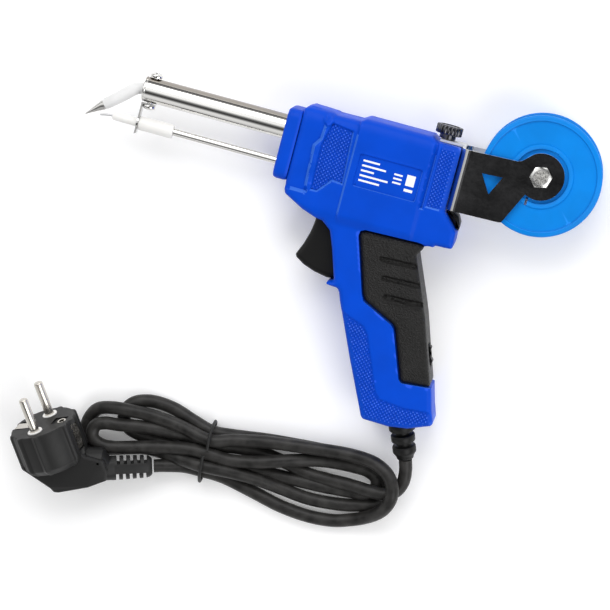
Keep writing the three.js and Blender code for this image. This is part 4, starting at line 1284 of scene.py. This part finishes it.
def make_bolt():
    end = turned(BOLT_END_RINGS, REEL, (0, 0, 1), 48)
    new_object("bolt_end", *end, BOLT_END, "gun", "steel", 40)
    hexagon = arc(REEL, BOLT_ACROSS / math.sqrt(3), BOLT_TURN, BOLT_TURN + 300, 5)
    steps = [
        ("INTERSECT", turned([(6.6, BOLT_LOW), (6.6, 16.7), (5.0, BOLT_TOP)], REEL, (0, 0, 1), 64)),
        ("UNION", rod_along("w", 3, -18.3, 15.8, REEL, 32)),
    ]
    bolt = combined(
        "hex_bolt", prism(hexagon, BOLT_LOW, BOLT_TOP), steps, BOLT, "gun", "steel", 30, 0.1)
    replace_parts(bolt, "reel_bolt")


FLUTES = 18
FLUTE_DEPTH = 0.5
KNOB_R = 6.85
KNOB_STATIONS = ((17.95, 0.93), (18.2, 0.98), (18.6, 1), (22.0, 1), (22.4, 0.97), (22.6, 0.92))


def make_thumbscrew():
    centre = (THUMBSCREW_U, 0, 0)
    loops = []
    for v, shrink in KNOB_STATIONS:
        loop = []
        for angle in circle(FLUTES * 8):
            r = (KNOB_R - FLUTE_DEPTH * (0.5 + 0.5 * math.cos(FLUTES * angle)) ** 3) * shrink
            loop.append(at(THUMBSCREW_U + r * math.cos(angle), v, -r * math.sin(angle)))
        loops.append(loop)
    dish = turned([(4.6, 22.2), (4.9, 22.4), (4.9, 24)], centre, (0, 1, 0), 48)
    stem = turned([(2, 4.2), (2, 15.6), (4.2, 15.65), (4.2, 18.3)], centre, (0, 1, 0), 48)
    steps = [("DIFFERENCE", dish), ("UNION", stem)]
    screw = combined("knurled_knob", skin(loops), steps, KNOB_CHROME, "thumbscrew", "chrome", 35)
    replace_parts(screw, "bracket_thumbscrew")


# ---------- strain relief ----------
BOOT = [
    (3.75, -21), (4.3, -20.6), (4.6, -19.4), (5.4, -18), (6, -17.3), (6.15, -16.6), (6.15, -14.2),
    (5.9, -13.7), (4.2, -13.5), (3.9, -13.2), (3.9, -11.6), (4.2, -11.3), (6, -11.1), (6.25, -10.7),
    (6.3, -7.9), (6, -7.5), (4.2, -7.3), (3.9, -7), (3.9, -5.2), (4.2, -4.9), (6.6, -4.9),
    (6.85, -4.5), (6.9, -1.9), (6.6, -1.4), (6.2, -1.3), (6.2, 5),
]


def make_relief():
    solid = turned(BOOT, RELIEF_TOP, relief_axis(), 48)
    relief = new_object("lead_boot", *solid, BLACK, "gun", "black_plastic", 40)
    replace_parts(relief, "strain_relief")


make_collar()
make_grip()
make_trigger()
make_rocker()
make_bumper()
make_barrel()
make_tip()
make_screws()
make_feed()
make_reel()
make_winding()
make_bracket()
make_bolt()
make_thumbscrew()
make_relief()


# ---------- plug: local x to the cable's side, y to the pins, z across ----------
PLUG_HOME = Vector((-83.3, -181.3, 4.9))
PLUG_R = 18.8
PLUG_RAISE = math.radians(15)
PLUG_HEADING = math.radians(31.8)
PIN_TURN = math.radians(-19)
PIN_PITCH = 9.5
SOCKET_X = 11.4
TO_CABLE = Vector((math.cos(PLUG_HEADING), math.sin(PLUG_HEADING), 0))
TO_PINS = Vector((
    -math.sin(PLUG_HEADING) * math.cos(PLUG_RAISE), math.cos(PLUG_HEADING) * math.cos(PLUG_RAISE),
    math.sin(PLUG_RAISE)))
TO_SIDE = TO_CABLE.cross(TO_PINS)
RELIEF_START = Vector((-43.8, -196.5, -4.6))
RELIEF_END = Vector((-23.5, -190.45, -9))


# a plug point as a gun point; turned points follow the pins' line
def plug_point(x, y, z, turned_with_pins=False):
    if turned_with_pins:
        cos, sin = math.cos(PIN_TURN), math.sin(PIN_TURN)
        x, z = x * cos + z * sin, -x * sin + z * cos
    return PLUG_HOME + TO_CABLE * x + TO_PINS * y + TO_SIDE * z


def plug_at(x, y, z, turned_with_pins=False):
    return at(*plug_point(x, y, z, turned_with_pins))


def plug_box(x0, x1, y0, y1, z0, z1):
    corners = ((x0, z0), (x1, z0), (x1, z1), (x0, z1))
    return skin([[plug_at(x, y, z, True) for x, z in corners] for y in (y0, y1)])


# the plug's round body, moulded with broad flats between shallow grooves for the fingers
GROOVE_ANGLES = (20, 62, 118, 160, 200, 228, 262, 318, 340)


def plug_radius(angle):
    degrees = math.degrees(angle)
    nearest = min(abs((degrees - groove + 180) % 360 - 180) for groove in GROOVE_ANGLES)
    return PLUG_R - 0.1 - 1.15 * smooth(nearest, 1.2, 7)


def round_loop(scale, y, count=144):
    loop = []
    for angle in circle(count):
        r = plug_radius(angle) * scale
        loop.append(plug_at(r * math.cos(angle), y, -r * math.sin(angle)))
    return loop


# rounded rectangles carried along gun points; sizes are half height and half thickness
def bar(points, sizes, upright=Vector((0, 0, 1)), corner=0.42):
    loops = []
    for i, point in enumerate(points):
        ahead = (points[min(i + 1, len(points) - 1)] - points[max(i - 1, 0)]).normalized()
        side = ahead.cross(upright).normalized()
        over = side.cross(ahead)
        high, thick = sizes[i]
        loops.append([at(*(point + side * a + over * b))
                      for a, b in rounded_box(high, thick, min(high, thick) * 2 * corner, 6)])
    return skin(loops)


SPINE = rounded([
    (-17.8, -18.2), (-6.8, -33.6), (-5.9, -36), (-3.6, -37), (12, -38.8), (22.6, -38), (25, -33),
    (25, -27), (17, -22), (12, -12), (-10, -12),
], 1.6, 4)


SPINE_MIDDLE = (6, -25)
SPINE_STATIONS = ((-8.6, 0.1), (-8.3, 0.04), (-7.4, 0), (7.4, 0), (8.3, 0.04), (8.6, 0.1))
PLUG_STATIONS = (
    (0.62, -24.4), (0.78, -23.8), (0.93, -21.4), (0.985, -20), (1, -18.6), (1, -1.2), (0.985, -0.4),
    (0.955, 0),
)
# the boot's distance from its start, half height and half thickness
BOOT_STATIONS = (
    (0, 6.3, 6), (6, 6.2, 5.9), (12, 6.0, 5.8), (17.6, 5.9, 5.7), (19.4, 5.5, 5.2),
    (20.6, 4.8, 4.6), (21.2, 4.1, 4.0),
)
BOOT_NOTCHES = 5
NOTCH_PITCH = 3.55
NOTCH = ((0, 2.6), (1.7, 2.6), (1.7, 9), (0, 9))
PIN_BORE = [(2.5, -12), (2.5, -0.9), (4.15, -0.9), (4.15, 1)]


# the moulding's ridge in section, drawn in about its middle
def spine(z, inset):
    x0, y0 = SPINE_MIDDLE
    return [plug_at(x0 + (x - x0) * (1 - inset), y0 + (y - y0) * (1 - inset), z) for x, y in SPINE]


# the boot's notches, the two sides' set off from each other
def boot_notches(along):
    side = along.cross(Vector((0, 0, 1))).normalized()
    over = side.cross(along)
    notches = []
    for i in range(BOOT_NOTCHES):
        for way in (1, -1):
            start = RELIEF_START + along * (2.2 + i * NOTCH_PITCH + (0.6 if way < 0 else 0))
            loops = [[at(*(start + along * a + side * way * b + over * c)) for a, b in NOTCH]
                     for c in (-9, 9)]
            notches.append(skin(loops))
    return notches


def make_plug():
    along = (RELIEF_END - RELIEF_START).normalized()
    body = skin([round_loop(scale, y) for scale, y in PLUG_STATIONS])
    ridge = skin([spine(z, inset) for z, inset in SPINE_STATIONS])
    neck_route = [plug_point(12, -28, 0), plug_point(21, -30.5, 0), RELIEF_START - along * 3,
                  RELIEF_START + along * 1.4]
    neck = bar(neck_route, [(8.6, 8), (8.4, 7.6), (6.6, 6.6), (6.2, 6)])
    boot = bar([RELIEF_START + along * d for d, high, thick in BOOT_STATIONS],
               [(high, thick) for d, high, thick in BOOT_STATIONS])
    cutters = boot_notches(along)
    for way in (1, -1):
        centre = plug_point(0, 0, way * PIN_PITCH, True)
        cutters.append(turned(PIN_BORE, centre, TO_PINS, 48))
        near, top = (15.4, 2) if way < 0 else (15.7, -2.4)
        cutters.append(plug_box(near * way, 23 * way, -17.5, top, -3.1, 3.1))
    cutters.append(turned([(2.4, -14), (2.4, 1)], plug_point(SOCKET_X, 0, 0, True), TO_PINS, 40))
    cutters.append(plug_box(6.4, 14.2, -0.7, 1, -3.4, 3.4))
    cutters.append(plug_box(-14.6, -5.6, -0.9, 1, -4.2, 4.2))
    cutters.append(turned([(0.7, 4), (0.7, 12)], plug_point(21.5, -27.2, 0), TO_SIDE, 20))
    steps = [("UNION", shape) for shape in (ridge, neck, boot)]
    steps += [("DIFFERENCE", cutter) for cutter in cutters]
    moulding = combined("plug_moulding", body, steps, PLUG_BLACK, "gun", "black_plastic", 20)
    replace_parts(moulding, "plug_body", "plug_relief")


# each earth clip's section, x and y, in turned plug axes; the one by the cable ends below the face
EARTH_CLIPS = {
    -1: [(15.6, -17), (16.4, -17), (18.3, -9), (17.2, -2.2), (15.6, 0.1), (11.4, -0.15),
         (6.2, -0.35), (6.2, -0.85), (11.4, -0.6), (15, -0.6), (16.4, -2.6), (17.4, -9)],
    1: [(15.9, -17), (16.7, -17), (17.6, -9), (16.8, -3), (16, -3), (16.8, -9)],
}


PIN_R = 2.4
PIN_END = 17.9
PIN_RING = [(2.45, -0.7), (3.9, -0.7), (3.95, 0.25), (3.75, 0.55), (2.8, 0.6), (2.45, 0.4)]
SOCKET = [(1.5, -13), (2.35, -13), (2.35, -0.35), (2.1, -0.15), (1.5, -0.3)]


def make_pins():
    dome = [(PIN_R - 1.05 * (1 - math.cos(a)), PIN_END + 1.1 * math.sin(a))
            for a in map(math.radians, (0, 20, 40, 60, 80))]
    shaft = [(PIN_R, -11.6), (PIN_R, 3), *dome, (0.9, 18.98), (0.5, 18.7), (0.05, 18.65)]
    for index, way in ((1, -1), (2, 1)):
        centre = plug_point(0, 0, way * PIN_PITCH, True)
        solid = turned(shaft, centre, TO_PINS, 48)
        pin = new_object(f"contact_pin_{index}", *solid, PIN_NICKEL, "gun", "chrome", 35)
        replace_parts(pin, f"plug_pin_{index}")
        solid = turned(PIN_RING, centre, TO_PINS, 48, closed=True)
        ring = new_object(f"pin_ring_{index}", *solid, PTFE, "gun", "white_ptfe", 35)
        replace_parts(ring, f"pin_collar_{index}")
        solid = skin([[plug_at(way * x, y, z, True) for x, y in EARTH_CLIPS[way]]
                      for z in (-2.9, 2.9)])
        clip = new_object(f"clip_{index}", *solid, PIN_NICKEL, "gun", "steel", 35)
        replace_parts(clip, f"earth_clip_{index}")
    solid = turned(SOCKET, plug_point(SOCKET_X, 0, 0, True), TO_PINS, 40, closed=True)
    liner = new_object("socket_liner", *solid, PIN_NICKEL, "gun", "brass", 35)
    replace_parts(liner, "earth_socket")


def make_tie():
    solid = tube(spline([laid(*p) for p in TIE_LOOP], 8), TIE_R * MM, 16)
    tie = new_object("lead_tie", *solid, PLUG_BLACK, "gun", "black_plastic", 60)
    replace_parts(tie, "cord_tie")


make_plug()
make_pins()
make_tie()


# ---------- finishes of the CAD pieces that stay; the rest of them are steel ----------
FINISHES = {
    "tail_foot": BLACK, "switch_housing": BLACK, "cord_clamp": BLACK, "reel_bush": BRASS,
    "thumbscrew_insert": BRASS, "terminal_block": PTFE, "heater_core": CERAMIC,
    "circuit_board": BOARD,
}
for node_name, cad_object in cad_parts.items():
    cad_object.data.materials.clear()
    cad_object.data.materials.append(FINISHES.get(node_name, STEEL))
